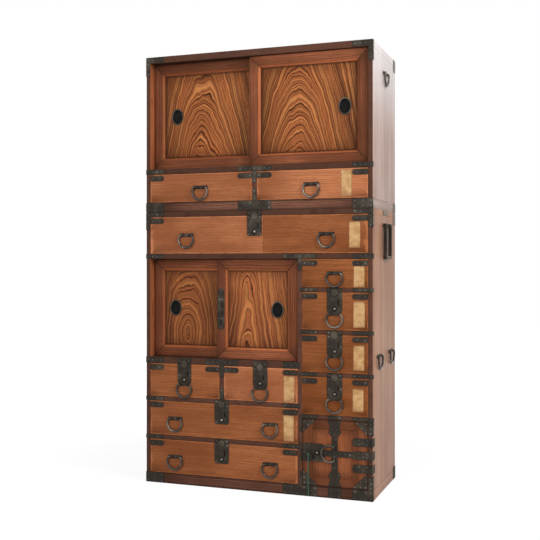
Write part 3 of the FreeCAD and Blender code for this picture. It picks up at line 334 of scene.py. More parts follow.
# %% [markdown]
# The photograph is a studio picture on white. A pale floor takes a soft shadow, and the world is white
# where the camera sees it and dim where it lights the chest. One large lamp on the right makes the right
# side bright, and a broad soft lamp in front, a little to the left, lights the drawers and doors.

# %% Floor, world and lamps
WORLD_LIGHT = 0.25
KEY_POWER, FILL_POWER = 74, 52
FLOOR_REACH, FLOOR_PAINT = 9.0, (0.9, 0.9, 0.9, 1)
FLOOR_WHITE_SHARE, FLOOR_WHITE = 0.8, 1.12
SHADOW_NEAR, SHADOW_REACH = 0.66, 2.2


def seen_directly(tree):
    """1 for rays that the camera, a shiny face or glass sends, 0 for light that falls on the chest."""
    path = add(tree, "ShaderNodeLightPath").outputs
    direct = most(tree, path["Is Camera Ray"], path["Is Glossy Ray"])
    return most(tree, direct, path["Is Transmission Ray"])


world = bpy.data.worlds.new("studio")
world.use_nodes = True
scene.world = world
background = world.node_tree.nodes["Background"]
strength = add(world.node_tree, "ShaderNodeMapRange", To_Min=WORLD_LIGHT)
feed(world.node_tree, strength.inputs["Value"], seen_directly(world.node_tree))
background.inputs["Color"].default_value = WHITE
feed(world.node_tree, background.inputs["Strength"], strength.outputs[0])

corners = [(x * FLOOR_REACH, y * FLOOR_REACH, 0) for x, y in ((-1, -1), (1, -1), (1, 1), (-1, 1))]
floor_mesh = bpy.data.meshes.new("floor")
floor_mesh.from_pydata(corners, [], [(0, 1, 2, 3)])
floor = bpy.data.objects.new("floor", floor_mesh)
scene.collection.objects.link(floor)
paint, floor_tree, floor_shader = finish_of("white_floor", Base_Color=FLOOR_PAINT, Roughness=0.9)
white = add(floor_tree, "ShaderNodeEmission", Color=WHITE, Strength=FLOOR_WHITE)
mixed = add(floor_tree, "ShaderNodeMixShader")
away = add(floor_tree, "ShaderNodeVectorMath", operation="LENGTH")
feed(floor_tree, away.inputs[0], here(floor_tree))
far = steps(floor_tree, away.outputs["Value"], SHADOW_NEAR, SHADOW_REACH)
share = plus(floor_tree, FLOOR_WHITE_SHARE, times(floor_tree, far, 1 - FLOOR_WHITE_SHARE))
feed(floor_tree, mixed.inputs[0], times(floor_tree, seen_directly(floor_tree), share))
feed(floor_tree, mixed.inputs[1], floor_shader.outputs[0])
feed(floor_tree, mixed.inputs[2], white.outputs[0])
feed(floor_tree, floor_tree.nodes["Material Output"].inputs[0], mixed.outputs[0])
floor_mesh.materials.append(paint)


def lamp(name, place, target, width, height, power):
    light = bpy.data.lights.new(name, "AREA")
    light.shape = "RECTANGLE"
    light.size, light.size_y = width, height
    light.energy = power
    holder = bpy.data.objects.new(name, light)
    holder.location = place
    holder.rotation_euler = (Vector(target) - Vector(place)).to_track_quat("-Z", "Y").to_euler()
    scene.collection.objects.link(holder)


lamp("key_lamp", (2.8, -1.5, 2.5), (0.3, 0, 0.9), 1.4, 1.6, KEY_POWER)
lamp("fill_lamp", (-0.7, -3.8, 2.2), (-0.1, 0, 0.9), 2.0, 2.2, FILL_POWER)
print("lamps:", KEY_POWER, "and", FILL_POWER, "watts")

# %% [markdown]
# Wood is the main thing to get right. In a log, growth rings are nested cones. A board cut through them
# shows arches where it passes near the middle of the tree and straight lines where it is far from it, and
# both come from one rule: the ring number at a point is its distance from the tree's axis plus a little
# of its height. The group below works that rule out from a grain coordinate stored on each board, so that
# the figure belongs to the board and not to the room. Noise along the ring number makes some years dark
# and a few lines golden.

# %% Growth rings
SLOW_SCALES, QUICK_SCALES = (4.5, 9, 3), (16, 32, 9)
SWING, RIPPLE, UNEVEN = 9, 1.6, 2.4


def ring_noise(tree, count, scale, detail=1.0):
    """Noise that changes from ring to ring."""
    node = add(tree, "ShaderNodeTexNoise", noise_dimensions="1D", Scale=scale, Detail=detail)
    feed(tree, node.inputs["W"], count)
    return node.outputs[0]


def growth_rings():
    tree, given, out = new_group("Growth rings", {"Spacing": 0.006, "Wobble": 0.004, "Line width": 0.3},
                                 ("Line", "Zone", "Band", "Gleam", "Reach"))
    grain = stored(tree, "grain")
    along, across, _ = split(tree, grain)
    taper, heart, eye = split(tree, stored(tree, "figure"))
    lengthwise = times(tree, along, eye)
    squares = plus(tree, times(tree, across, across), times(tree, lengthwise, lengthwise))
    squares = plus(tree, squares, times(tree, heart, heart))
    radius = plus(tree, root(tree, squares), times(tree, along, taper))
    slow = minus(tree, noise(tree, grain, SLOW_SCALES, 2), 0.5)
    quick = minus(tree, noise(tree, grain, QUICK_SCALES, 3), 0.5)
    swing = times(tree, slow, times(tree, given["Wobble"], SWING))
    ripple = times(tree, quick, times(tree, given["Wobble"], RIPPLE))
    radius = plus(tree, radius, plus(tree, swing, ripple))
    count = over(tree, radius, given["Spacing"])
    count = plus(tree, count, times(tree, ring_noise(tree, count, 0.21), UNEVEN))
    phase = fraction(tree, count)
    rise = steps(tree, phase, minus(tree, 1.0, given["Line width"]), 1.0)
    fall = minus(tree, 1.0, steps(tree, phase, 0.0, 0.12))
    feed(tree, out["Line"], most(tree, rise, fall))
    feed(tree, out["Zone"], steps(tree, ring_noise(tree, count, 0.31, 2.0), 0.36, 0.64))
    feed(tree, out["Band"], steps(tree, ring_noise(tree, count, 0.07), 0.42, 0.6))
    apart = unsigned(tree, minus(tree, ring_noise(tree, count, 0.42), 0.5))
    feed(tree, out["Gleam"], minus(tree, 1.0, steps(tree, apart, 0.01, 0.06)))
    feed(tree, out["Reach"], unsigned(tree, across))
    return tree


RINGS = growth_rings()
print("group:", RINGS.name)

# %% [markdown]
# Between the rings, wood has fibres and open pores: fine streaks that run with the grain. They are plain
# noise, squeezed hard across the grain and drawn out along it. A second group looks at how near a point
# lies to its board's edges, where hands rub the lacquer pale and dust settles dark in the corners, and
# where shade is painted along the edges and round a panel under its frame. A third knows the joints
# between the upright boards of the chest's sides, and how far up they are painted whiter as sheen.

# %% Fibres, handling and side planks
STREAK_SCALES, PORE_SCALES, CLOUD_SCALES = (9, 260, 260), (45, 900, 900), (3, 7, 7)
RAGGED_SCALE, RAGGED = 38, 0.12
PLANK_JOINTS = ((0.150, -0.08), (0.292, 0.05))
# Heights between which the sides are painted whiter, as painted sheen of the light on the lacquer.
PAINTED_SHEEN_FROM, PAINTED_SHEEN_TO = 1.3, 1.7


def wood_fibre():
    tree, _, out = new_group("Wood fibre", {}, ("Streak", "Pore", "Cloud"))
    grain = stored(tree, "grain")
    feed(tree, out["Streak"], noise(tree, grain, STREAK_SCALES, 3, 0.6))
    feed(tree, out["Pore"], steps(tree, noise(tree, grain, PORE_SCALES, 1), 0.58, 0.68))
    feed(tree, out["Cloud"], noise(tree, grain, CLOUD_SCALES, 3))
    return tree


def handling():
    """Edge is rubbed and Corner is dusty. Rim is painted shade along a board's edges, and Seat a painted shadow on
    the strip of a panel under its frame.
    """
    tree, _, out = new_group("Handling", {}, ("Edge", "Corner", "Rim", "Seat"))
    away = add(tree, "ShaderNodeVectorMath", operation="ABSOLUTE")
    feed(tree, away.inputs[0], stored(tree, "span"))
    length, width, _ = split(tree, away.outputs[0])
    ragged = times(tree, minus(tree, noise(tree, here(tree), RAGGED_SCALE, 4), 0.5), RAGGED)
    ends, lips = plus(tree, length, ragged), plus(tree, width, ragged)
    feed(tree, out["Edge"], most(tree, steps(tree, ends, 0.965, 1.01), steps(tree, lips, 0.93, 1.01)))
    feed(tree, out["Corner"], times(tree, steps(tree, ends, 0.55, 1.0), steps(tree, lips, 0.4, 1.0)))
    feed(tree, out["Rim"], most(tree, steps(tree, ends, 0.6, 1.05), steps(tree, lips, 0.5, 1.05)))
    feed(tree, out["Seat"], most(tree, steps(tree, length, 0.89, 0.95), steps(tree, width, 0.87, 0.95)))
    return tree


def side_planks():
    """The joints between the three upright boards of a side, a small step of tone from board to board, and the
    height band where the side is painted whiter as sheen.
    """
    tree, _, out = new_group("Side planks", {}, ("Gap", "Shift", "Painted_sheen"))
    place = split(tree, here(tree))
    gap, shift = 0.0, 1.0
    for depth, step in PLANK_JOINTS:
        away = minus(tree, place["Y"], FRONT + depth)
        near = minus(tree, 1.0, steps(tree, unsigned(tree, away), 0.0004, 0.0014))
        gap = most(tree, gap, near)
        shift = plus(tree, shift, times(tree, is_more(tree, away, 0.0), step))
    feed(tree, out["Gap"], gap)
    feed(tree, out["Shift"], shift)
    feed(tree, out["Painted_sheen"], steps(tree, place["Z"], PAINTED_SHEEN_FROM, PAINTED_SHEEN_TO))
    return tree


FIBRE = wood_fibre()
HANDLING = handling()
PLANKS = side_planks()
print("groups:", FIBRE.name, HANDLING.name, PLANKS.name)

# %% [markdown]
# One recipe makes every wood on the chest. It takes three colours, a ring spacing and how much the lines
# show. The marks of growth and use, with painted shade and painted sheen, are then laid over the ground one
# by one. Each board also carries its own small shift of tone, because no two planks come from the same tree.

# %% Wood finishes
LACQUER_TINT = (1.0, 0.55, 0.3, 1.0)
# The near-white painted sheen laid on the sides towards the top, and how strongly it is laid.
PAINTED_SHEEN_WHITE, PAINTED_SHEEN_SHARE = rgb(244, 240, 240), 0.8
REDDENED = (1.0, 0.87, 0.62, 1.0)
GOLDEN = rgb(240, 158, 92)
PLAIN_STREAK, PORE_SHARE, GAP_SHARE = 0.45, 0.4, 0.8
DARKEST, TONE_RANGE = 0.75, 0.5


def wood(name, pale, deep, line, spacing, wobble, line_share, line_width=0.3, zone=0.2, roughness=0.45,
         streak=PLAIN_STREAK, rubbed=0.25, grime=0.4, rim=0.0, fade=0.0, far_share=0.3, band=0.0,
         planks=False, warm=WHITE, seat=0.0, gleam=0.0):
    """A wood with its colours, ring spacing and wobble. The other values set how its marks show."""
    pale, deep, line = rgb(*pale), rgb(*deep), rgb(*line)
    material, tree, shader = finish_of(name, Specular_IOR_Level=0.2, Specular_Tint=LACQUER_TINT)
    rings = place_group(tree, RINGS, Spacing=spacing, Wobble=wobble, Line_width=line_width)
    fibre = place_group(tree, FIBRE)
    handled = place_group(tree, HANDLING)
    tone = stored(tree, "tone", "Fac")
    ground = blend(tree, steps(tree, fibre["Cloud"], 0.3, 0.7), deep, pale)
    ground = tint(tree, ground, line, rings["Zone"], zone)
    ground = tint(tree, ground, line, rings["Band"], band)
    streak_colour = blend(tree, streak - PLAIN_STREAK, deep, line)
    ground = tint(tree, ground, streak_colour, steps(tree, fibre["Streak"], 0.3, 0.7), streak)
    patchy = plus(tree, 0.1, times(tree, fibre["Streak"], 0.7))
    patchy = plus(tree, patchy, times(tree, fibre["Cloud"], 1.1), clamp=True)
    share = times(tree, rings["Line"], times(tree, patchy, line_share))
    if fade:
        near = minus(tree, 1.0, steps(tree, rings["Reach"], fade * 0.35, fade * 1.3))
        share = times(tree, share, plus(tree, far_share, times(tree, near, 1 - far_share)))
        ground = tint(tree, ground, pale, near, 0.35)
    surface = blend(tree, share, ground, line)
    # The rim and seat marks are painted shade: dark along a board's edges and on a panel's border under its frame.
    marks = [(rings["Gleam"], gleam, GOLDEN), (fibre["Pore"], PORE_SHARE, line),
             (handled["Corner"], grime, line), (handled["Rim"], rim, line),
             (handled["Seat"], seat, line), (handled["Edge"], rubbed, pale)]
    light = plus(tree, DARKEST, times(tree, tone, TONE_RANGE))
    if planks:
        joint = place_group(tree, PLANKS)
        marks += [(joint["Painted_sheen"], PAINTED_SHEEN_SHARE, PAINTED_SHEEN_WHITE), (joint["Gap"], GAP_SHARE, line)]
        light = times(tree, light, joint["Shift"])
    for mask, strength, colour in marks:
        if strength:
            surface = tint(tree, surface, colour, mask, strength)
    shade = add(tree, "ShaderNodeHueSaturation")
    warmth = blend(tree, tone, warm, WHITE)
    feed(tree, shade.inputs["Color"], blend(tree, 1.0, surface, warmth, "MULTIPLY"))
    feed(tree, shade.inputs["Value"], light)
    feed(tree, shader.inputs["Base Color"], shade.outputs[0])
    gloss = plus(tree, roughness - 0.1, times(tree, fibre["Streak"], 0.2))
    feed(tree, shader.inputs["Roughness"], plus(tree, gloss, times(tree, handled["Edge"], 0.1)))
    hollows = plus(tree, times(tree, rings["Line"], 0.3), times(tree, fibre["Pore"], 0.5))
    bump(tree, shader, minus(tree, times(tree, fibre["Streak"], 0.5), hollows), 0.0005, 0.6)
    return material


front_wood = wood("drawer_front_wood", (190, 122, 83), (142, 84, 53), (88, 47, 28), 0.0085, 0.004, 0.3,
                  streak=0.65, rubbed=0.9, grime=0.7, warm=REDDENED)
# The rails' strong rim is painted shade of the gaps beside the drawers and doors.
rail_wood = wood("rail_wood", (142, 96, 79), (94, 59, 47), (32, 18, 16), 0.007, 0.003, 0.75,
                 streak=0.6, rim=0.85)
# Dark wood: painted shade on the strip below the upper section, and the dark open lines of the door frames'
# mitres.
dark_wood = wood("dark_strip_wood", (86, 57, 47), (62, 40, 32), (30, 18, 15), 0.007, 0.003, 0.6)
stile_wood = wood("door_frame_wood", (167, 99, 68), (112, 61, 41), (48, 24, 17), 0.008, 0.002, 0.6,
                  streak=0.6, rim=0.5)
# Lighter wood, worn and painted as a highlight, for the frames' bevelled lips, and painted light on the faces
# beside doors and drawers.
lip_wood = wood("worn_and_highlit_lip_wood", (206, 122, 76), (160, 90, 56), (88, 45, 28), 0.008, 0.002, 0.4)
# The panels' rim and seat paint shade along their edges and under their frames.
panel_wood = wood("arched_panel_wood", (214, 124, 70), (96, 49, 32), (50, 23, 14), 0.0023, 0.0022, 1.1,
                  line_width=0.4, zone=0.5, roughness=0.42, streak=0.7, rubbed=0.0, grime=0.5, rim=0.45,
                  fade=0.15, far_share=0.6, band=0.8, seat=0.75, gleam=0.55)
eye_panel_wood = wood("eyed_panel_wood", (214, 126, 73), (116, 63, 42), (54, 26, 17), 0.0058, 0.006, 1.1,
                      line_width=0.5, zone=0.5, roughness=0.42, streak=0.75, rubbed=0.0, grime=0.5, rim=0.45,
                      fade=0.06, far_share=0.12, band=0.3, seat=0.75, gleam=0.3)
safe_wood = wood("safe_door_wood", (158, 92, 58), (116, 66, 44), (52, 28, 20), 0.009, 0.008, 0.3,
                 zone=0.3, rim=0.5)
# The upper sides are written paler than the lower ones, and both are painted whiter towards the top: painted sheen
# of the light on the lacquer.
upper_side_wood = wood("upper_side_wood", (212, 190, 180), (186, 158, 146), (140, 104, 88), 0.012, 0.004, 0.5,
                       zone=0.5, planks=True)
lower_side_wood = wood("lower_side_wood", (190, 146, 117), (163, 117, 90), (112, 72, 52), 0.012, 0.004, 0.5,
                       zone=0.5, planks=True)
raw_wood = wood("raw_inside_wood", (196, 158, 112), (166, 124, 80), (122, 86, 52), 0.007, 0.004, 0.45,
                roughness=0.75, rubbed=0.1)
print("the last wood:", raw_wood.name, "with", len(raw_wood.node_tree.nodes), "nodes")

# %% [markdown]
# The frame's boards are sharp and carry no grain direction. For each one we copy its mesh, weld the loose
# triangles, take off the knife edge with a small bevel, and then store four facts on every point: where
# it is along the grain, which figure the board was cut to show, how near it is to the board's edges, and
# the board's tone. Grain runs along a board's longest side, as a joiner would lay it, and upright on the
# door panels.

# %% Boards from the frame
EDGE_ROUND = 0.0009
BEVELLED_FROM, SMOOTH_TO = math.radians(30), math.radians(38)
STRAIGHT_TAPER, STRAIGHT_HEART = 0.02, 0.03


def solids_of(node):
    """The solids of a frame node one by one, each as a welded bmesh. Boards that touch share corner points,
    so a solid is taken as complete once every edge of the faces read so far has met its partner."""
    mesh = frame["nodes"][node].data
    numbers, labels = {}, []
    for vertex in mesh.vertices:
        labels.append(numbers.setdefault(tuple(round(c, 6) for c in vertex.co), len(numbers)))
    spots = list(numbers)
    waiting, faces = set(), []
    for polygon in mesh.polygons:
        loop = [labels[index] for index in polygon.vertices]
        if len(set(loop)) < 3:
            continue
        faces.append(loop)
        for edge in zip(loop, loop[1:] + loop[:1]):
            waiting ^= {edge} if edge[::-1] not in waiting else {edge[::-1]}
        if not waiting:
            yield welded(spots, faces)
            faces = []


def welded(spots, faces):
    """A bmesh of one solid."""
    build = bmesh.new()
    points = {index: build.verts.new(spots[index]) for index in {index for loop in faces for index in loop}}
    for loop in faces:
        build.faces.new([points[index] for index in loop])
    build.normal_update()
    return build


def limits(*shapes):
    """The box around the points of some faces or bmeshes."""
    points = [vertex.co for shape in shapes for vertex in shape.verts]
    low = Vector([min(p[axis] for p in points) for axis in range(3)])
    high = Vector([max(p[axis] for p in points) for axis in range(3)])
    return low, high


def round_edges(build, width, segments=2):
    sharp = [edge for edge in build.edges
             if len(edge.link_faces) == 2 and edge.calc_face_angle(0) > BEVELLED_FROM]
    bmesh.ops.bevel(build, geom=sharp, offset=width, offset_type="OFFSET", segments=segments, profile=0.6,
                    affect="EDGES", clamp_overlap=True)


def joined(name, solids, finishes, facts):
    """One mesh from many solids, with the finish number of every face and the facts of every point."""
    points, faces = [], []
    for build in solids:
        base = len(points)
        build.verts.index_update()
        points += [vertex.co.copy() for vertex in build.verts]
        faces += [[base + vertex.index for vertex in face.verts] for face in build.faces]
        build.free()
    mesh = bpy.data.meshes.new(name)
    mesh.from_pydata(points, [], faces)
    mesh.polygons.foreach_set("material_index", finishes)
    for fact, values in facts.items():
        single = isinstance(values[0], float)
        layer = mesh.attributes.new(fact, "FLOAT" if single else "FLOAT_VECTOR", "POINT")
        flat = values if single else [part for value in values for part in value]
        layer.data.foreach_set("value" if single else "vector", flat)
    mesh.shade_smooth()
    mesh.set_sharp_from_angle(angle=SMOOTH_TO)
    return mesh


def cut_across(build, point, way):
    """Cut a bmesh through a plane, so that the faces on each side can differ."""
    everything = build.verts[:] + build.edges[:] + build.faces[:]
    bmesh.ops.bisect_plane(build, geom=everything, plane_co=point, plane_no=way)


def board_piece(node, body, finishes, paint, figure_of=None, width=EDGE_ROUND, shade=None, cuts=()):
    """Copy a wooden node with rounded edges and grain facts. paint(face, low, high) gives the finish number
    of a face on a board with that box. figure_of(low, high) gives None for straight grain, or the centre
    along and across, taper, heart, eye and tone. cuts are planes that part a board for two finishes."""
    facts = {"grain": [], "figure": [], "span": [], "tone": []}
    dice = random.Random(node)
    solids, numbers = [], []
    for build in solids_of(node):
        for plane in cuts:
            cut_across(build, *plane)
        round_edges(build, width)
        low, high = limits(build)
        figure = figure_of(low, high) if figure_of else None
        middle, half = (low + high) / 2, (high - low) / 2
        axes = (2, 0, 1) if figure else sorted(range(3), key=lambda axis: -half[axis])
        origin = [middle[axes[0]] + dice.uniform(-2, 2),
                  middle[axes[1]] + dice.choice((-1, 1)) * dice.uniform(0.12, 0.4),
                  middle[axes[2]] + dice.uniform(-1, 1)]
        shape = (STRAIGHT_TAPER * dice.uniform(-1, 1), STRAIGHT_HEART, 0)
        if figure:
            origin[:2], shape = figure[:2], figure[2:5]
        tone = figure[5] if figure else dice.random() if shade is None else shade
        for vertex in build.verts:
            facts["grain"].append([vertex.co[axis] - start for axis, start in zip(axes, origin)])
            facts["figure"].append(shape)
            facts["span"].append([(vertex.co[axis] - middle[axis]) / half[axis] for axis in axes])
            facts["tone"].append(tone)
        solids.append(build)
        numbers += [paint(face, low, high) for face in build.faces]
    mesh = joined(node + "_boards", solids, numbers, facts)
    piece = new_piece(node + "_boards", mesh, body, *finishes)
    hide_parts(node)
    return piece


# %% [markdown]
# Now the wooden nodes. A chooser looks at where a face lies and says which finish it gets: the front
# edges of the case are lacquered dark, the sides are pale and painted whiter towards the top as sheen, the
# faces beside doors and drawers are painted lighter as light falling on them, a strip below the upper section
# is painted dark as shade, and what only shows with a drawer open stays raw.

# %% Case and rails
SHOWN_DEPTH = 0.05
TOP_FACE_FROM = 1.66
HAIR = 0.001


def case_paint(face, low, high):
    """0 dark lacquer, 1 the sides with their painted sheen, 2 raw wood, 3 the strip below the upper section,
    painted dark as shade, and 4 the faces beside doors and drawers, painted light.
    """
    place = face.calc_center_median()
    sideways = abs(face.normal.x) > MOSTLY
    if abs(place.x) > HALF_WIDTH - HAIR and sideways:
        return 1
    if place.y < FRONT + SHOWN_DEPTH and sideways:
        return 4
    if place.y < FRONT + SHOWN_DEPTH or high.z > TOP_FACE_FROM and face.normal.z > MOSTLY:
        return 3 if abs(high.z - LOWER_TOP) < 2 * HAIR and high.z - low.z < SHOWN_DEPTH else 0
    return 2


shown = [(Vector((0, FRONT + SHOWN_DEPTH, 0)), Y_WAY)]
for section, side_wood in (("lower", lower_side_wood), ("upper", upper_side_wood)):
    for node, slot in ((section + "_case", "case_wood"), (section + "_front_frame", "frame_wood")):
        piece = board_piece(node, "case", (rail_wood, side_wood, raw_wood, dark_wood, lip_wood), case_paint,
                            cuts=shown)
        print(node, len(piece.data.polygons), "faces")

# %% [markdown]
# A drawer front is its best board and the rest of the box is plain. The wide drawer's front was made up
# from two boards of different colour, joined beside the lock; four cuts close together give the joint its
# dark line.

# %% Drawers
DRAWER_TONES = {
    "upper_left_drawer": 0.92, "upper_right_drawer": 1.22, "wide_drawer": 1.26, "small_left_drawer": 0.48,
    "small_right_drawer": 1.44, "long_upper_drawer": 0.54, "long_lower_drawer": 0.52, "column_drawer_1": 0.1,
    "column_drawer_2": 0.2, "column_drawer_3": 0.14, "column_drawer_4": 0.0,
}
DRAWER_ROUND = 0.0012
WIDE_JOINT, WIDE_DARKER, LINE_TONE = 0.034, 0.82, -1.0
WIDE_LINE = (0, 0.0004, 0.0010, 0.0014)
LINE_START, LINE_END = 0.0001, 0.0013


def drawer_paint(face, low, high):
    return 0 if low.y < FRONT + HAIR else 1


for name, tone in DRAWER_TONES.items():
    joints = [(Vector((WIDE_JOINT + step, 0, 0)), X_WAY) for step in WIDE_LINE if name == "wide_drawer"]
    piece = board_piece(name, name, (front_wood, raw_wood), drawer_paint, width=DRAWER_ROUND, shade=tone,
                        cuts=joints)
    if joints:
        for vertex, fact in zip(piece.data.vertices, piece.data.attributes["tone"].data):
            past = vertex.co.x - WIDE_JOINT
            if past > LINE_START:
                fact.value = tone - WIDE_DARKER if past > LINE_END else LINE_TONE
print("drawers:", len(DRAWER_TONES))

# %% [markdown]
# The four sliding doors carry the show wood. Each panel is described by where the tree's heart lay on it,
# in the chest's own measure, and by how steeply its arches climb: three are cathedral arches, and the
# lower left one closes into an eye. The open lines of the frames' mitres are painted dark, and their
# bevelled lips are worn and painted lighter as a highlight.

# %% Sliding doors
FIGURES = {
    "upper_left_door": (1.36, -0.225, 0.13, 0.19, 0.0, 0.6),
    "upper_right_door": (1.42, 0.165, 0.14, 0.21, 0.0, 0.5),
    "lower_left_door": (0.592, -0.295, 0.03, 0.004, 0.36, 0.2),
    "lower_right_door": (0.645, -0.028, 0.14, 0.04, 0.0, 0.8),
}
PANEL_DEPTH, LIP_AREA = 0.01, 0.001
MITRE_LEAN, FRAME_ROUND, SAFE_ROUND = 0.15, 0.0014, 0.0008


def door_paint(face, low, high):
    """0 for the frame, 1 for the panel, 2 for the frame's bevelled lip and 3 for the open line of a mitre."""
    if high.y - low.y < PANEL_DEPTH:
        return 1
    if min(abs(face.normal.x), abs(face.normal.z)) > MITRE_LEAN:
        return 3
    return 2 if -NEARLY < face.normal.y < -MOSTLY and face.calc_area() > LIP_AREA else 0


for name, figure in FIGURES.items():
    show_wood = panel_wood if name.startswith("upper") else eye_panel_wood
    piece = board_piece(name, name, (stile_wood, show_wood, lip_wood, dark_wood), door_paint,
                        lambda low, high: figure if high.y - low.y < PANEL_DEPTH else None, FRAME_ROUND)
safe_leaf = board_piece("safe_door", "safe_door", (safe_wood,), lambda face, low, high: 0, width=SAFE_ROUND)
print("doors:", list(FIGURES))

# %% [markdown]
# The irons are sheet iron, blackened over a fire with oil and then rubbed for a century. Blackened iron
# is not black: it is a brownish grey with patches of rust and a dull shine where it is touched. Three
# patterns do that: blotches of rust, fine pits for the surface, and broad places where hands have rubbed
# it.

# %% Iron finishes
PIT_SCALE, RUB_SCALE, RUST_SHARE = 420, 23, 0.6


def iron_skin():
    tree, given, out = new_group("Iron skin", {"Blotch size": 60.0}, ("Rust", "Pits", "Rub"))
    place = here(tree)
    feed(tree, out["Rust"], steps(tree, noise(tree, place, given["Blotch size"], 5.0, 0.62), 0.48, 0.72))
    feed(tree, out["Pits"], noise(tree, place, PIT_SCALE, 4, 0.65))
    feed(tree, out["Rub"], steps(tree, noise(tree, place, RUB_SCALE, 4), 0.46, 0.66))
    return tree


IRON = iron_skin()


def iron(name, base, rust, rubbed, metallic, roughness, rub_share, blotch=60.0, shine=0.3, wax=0.0):
    material, tree, shader = finish_of(name, Metallic=metallic, Specular_IOR_Level=shine, Coat_Weight=wax,
                                       Coat_Roughness=0.22)
    skin = place_group(tree, IRON, Blotch_size=blotch)
    coloured = tint(tree, rgb(*base), rgb(*rust), skin["Rust"], RUST_SHARE)
    feed(tree, shader.inputs["Base Color"], tint(tree, coloured, rgb(*rubbed), skin["Rub"], rub_share))
    rough = minus(tree, roughness + 0.12, times(tree, skin["Rub"], 0.16))
    feed(tree, shader.inputs["Roughness"], plus(tree, rough, times(tree, skin["Pits"], 0.14)))
    bump(tree, shader, skin["Pits"], 0.0004, 0.5)
    return material


sheet_iron = iron("blackened_sheet_iron", (41, 35, 27), (66, 50, 36), (82, 72, 57), 0.2, 0.5, 0.4)
ring_iron = iron("rubbed_ring_iron", (50, 42, 36), (66, 49, 37), (150, 135, 118), 0.6, 0.26, 0.4, wax=0.6)
nail_iron = iron("worn_nail_heads", (76, 71, 64), (70, 57, 46), (150, 143, 134), 0.5, 0.34, 0.55, 140.0)
# Bright iron: the studs' tops, rubbed and with a painted highlight, and the plates high on the sides, painted
# pale.
stud_iron = iron("worn_and_highlit_stud_iron", (118, 109, 96), (108, 86, 64), (176, 168, 154), 0.8, 0.3, 0.5, 140.0)
# Lighter iron: worn cup rims and boss faces, and a painted highlight on a lock's right edge.
edge_iron = iron("worn_and_highlit_edge_iron", (66, 58, 47), (70, 54, 41), (100, 90, 76), 0.3, 0.45, 0.5)
# Near-black iron: painted shade in the cups' wells, behind the keyholes and round studs and bosses.
well_iron = iron("shade_black_well", (30, 30, 30), (36, 34, 32), (46, 46, 46), 0.0, 0.7, 0.2, shine=0.1)
print("irons:", [m.name for m in (sheet_iron, ring_iron, nail_iron, stud_iron, edge_iron, well_iron)])

# %% [markdown]
# Sheet iron is cut with shears and filed, so its edges are small rounds, not knife edges. The same welded
# copy works, with a finer bevel. While each plate is still sharp we note where a smith would drive nails:
# along the middle of a strap, in two rows on a hinge strap or a plain sheet, down both sides of a lock,
# and in the corners of other shapes.

# %% Where the nails go
NAIL_INSET, SHEET_INSET, LOCK_INSET = 0.0062, 0.0085, 0.009
NAIL_SPACING, NAIL_JOIN, NAIL_MARGIN = 0.036, 0.009, 0.004
NAILED_AREA = 0.00035
FLAT_TO, SHEARED_FROM, CORNER_TURN = 0.01, 0.5, -0.66
STRAP_WIDTH, STRAP_SHAPE, STRAP_SPACING, STRAP_END = 0.032, 1.8, 0.021, 0.45
HINGE_WIDTH = 0.0295
FLARE_LENGTH, FLARE_NAILS = 0.2, ((0.012, 0.014), (0.030, 0.009), (0.043, 0.016))
LOCK_THICK, LONG_PLATE = (0.0025, 0.0035), 0.12
RING_ACROSS, RING_CLEAR = 0.035, 0.012
RING_PIVOTS = [Vector(joint["pos_m"]) for joint in frame["joints"] if joint["child"].endswith("_ring")]
nails = {}


def row_of(start, end, count):
    """Points from one place to another in equal steps."""
    return [start.lerp(end, step / count) for step in range(count + 1)]


def inside(place, face):
    """Whether a point lies in a flat face and clear of its outline."""
    axes = (0, 2) if abs(face.normal.y) > NEARLY else (1, 2)
    u, v = place[axes[0]], place[axes[1]]
    ring = [(vertex.co[axes[0]], vertex.co[axes[1]]) for vertex in face.verts]
    crossings = 0
    for (au, av), (bu, bv) in zip(ring, ring[1:] + ring[:1]):
        if (av > v) != (bv > v) and u < au + (bu - au) * (v - av) / (bv - av):
            crossings += 1
        edge, reach = Vector((bu - au, bv - av)), Vector((u - au, v - av))
        share = min(max(reach.dot(edge) / max(edge.length_squared, 1e-12), 0), 1)
        if (reach - edge * share).length < NAIL_MARGIN:
            return False
    return crossings % 2 == 1


def outline_nails(face):
    """Places for nails in one flat face: inside its corners, and along its long edges."""
    corners = []
    for loop in face.loops:
        spot = loop.vert.co
        back = (loop.link_loop_prev.vert.co - spot).normalized()
        ahead = (loop.link_loop_next.vert.co - spot).normalized()
        bend = min(loop.edge.calc_face_angle(0), loop.link_loop_prev.edge.calc_face_angle(0))
        if bend > SHEARED_FROM and back.cross(ahead).dot(face.normal) < CORNER_TURN:
            corners.append(spot + (back + ahead) * NAIL_INSET)
    places = []
    for spot, following in zip(corners, corners[1:] + corners[:1]):
        gaps = int((following - spot).length / NAIL_SPACING) + 1
        places += row_of(spot, following, gaps)[:-1]
    return [place for place in places if inside(place, face)]


def strap_nails(face, across):
    """Places for nails along a strap: one row in its middle, or two where it is as broad as a hinge."""
    low, high = limits(face)
    start, end = (low + high) / 2, (low + high) / 2
    along = max(range(3), key=lambda axis: high[axis] - low[axis])
    start[along], end[along] = low[along] + across * STRAP_END, high[along] - across * STRAP_END
    row = row_of(start, end, max(round((end - start).length / STRAP_SPACING), 1))
    if across < HINGE_WIDTH:
        return row
    return [place + Z_WAY * (side * across / 4) for place in row for side in (-1, 1)]


def flare_nails(low, high):
    """Places for nails on the flared ends of the safe door's long strap."""
    middle = (low.x + high.x) / 2
    return [Vector((middle + side * apart, low.y, end + way * inward))
            for end, way in ((low.z, 1), (high.z, -1)) for inward, apart in FLARE_NAILS for side in (-1, 1)]


def half_sheet(face):
    """Whether a face is one of the two triangles of a plain rectangular sheet."""
    flat = [edge for edge in face.edges if edge.calc_face_angle(0) < FLAT_TO]
    return len(face.verts) == 3 and len(flat) == 1


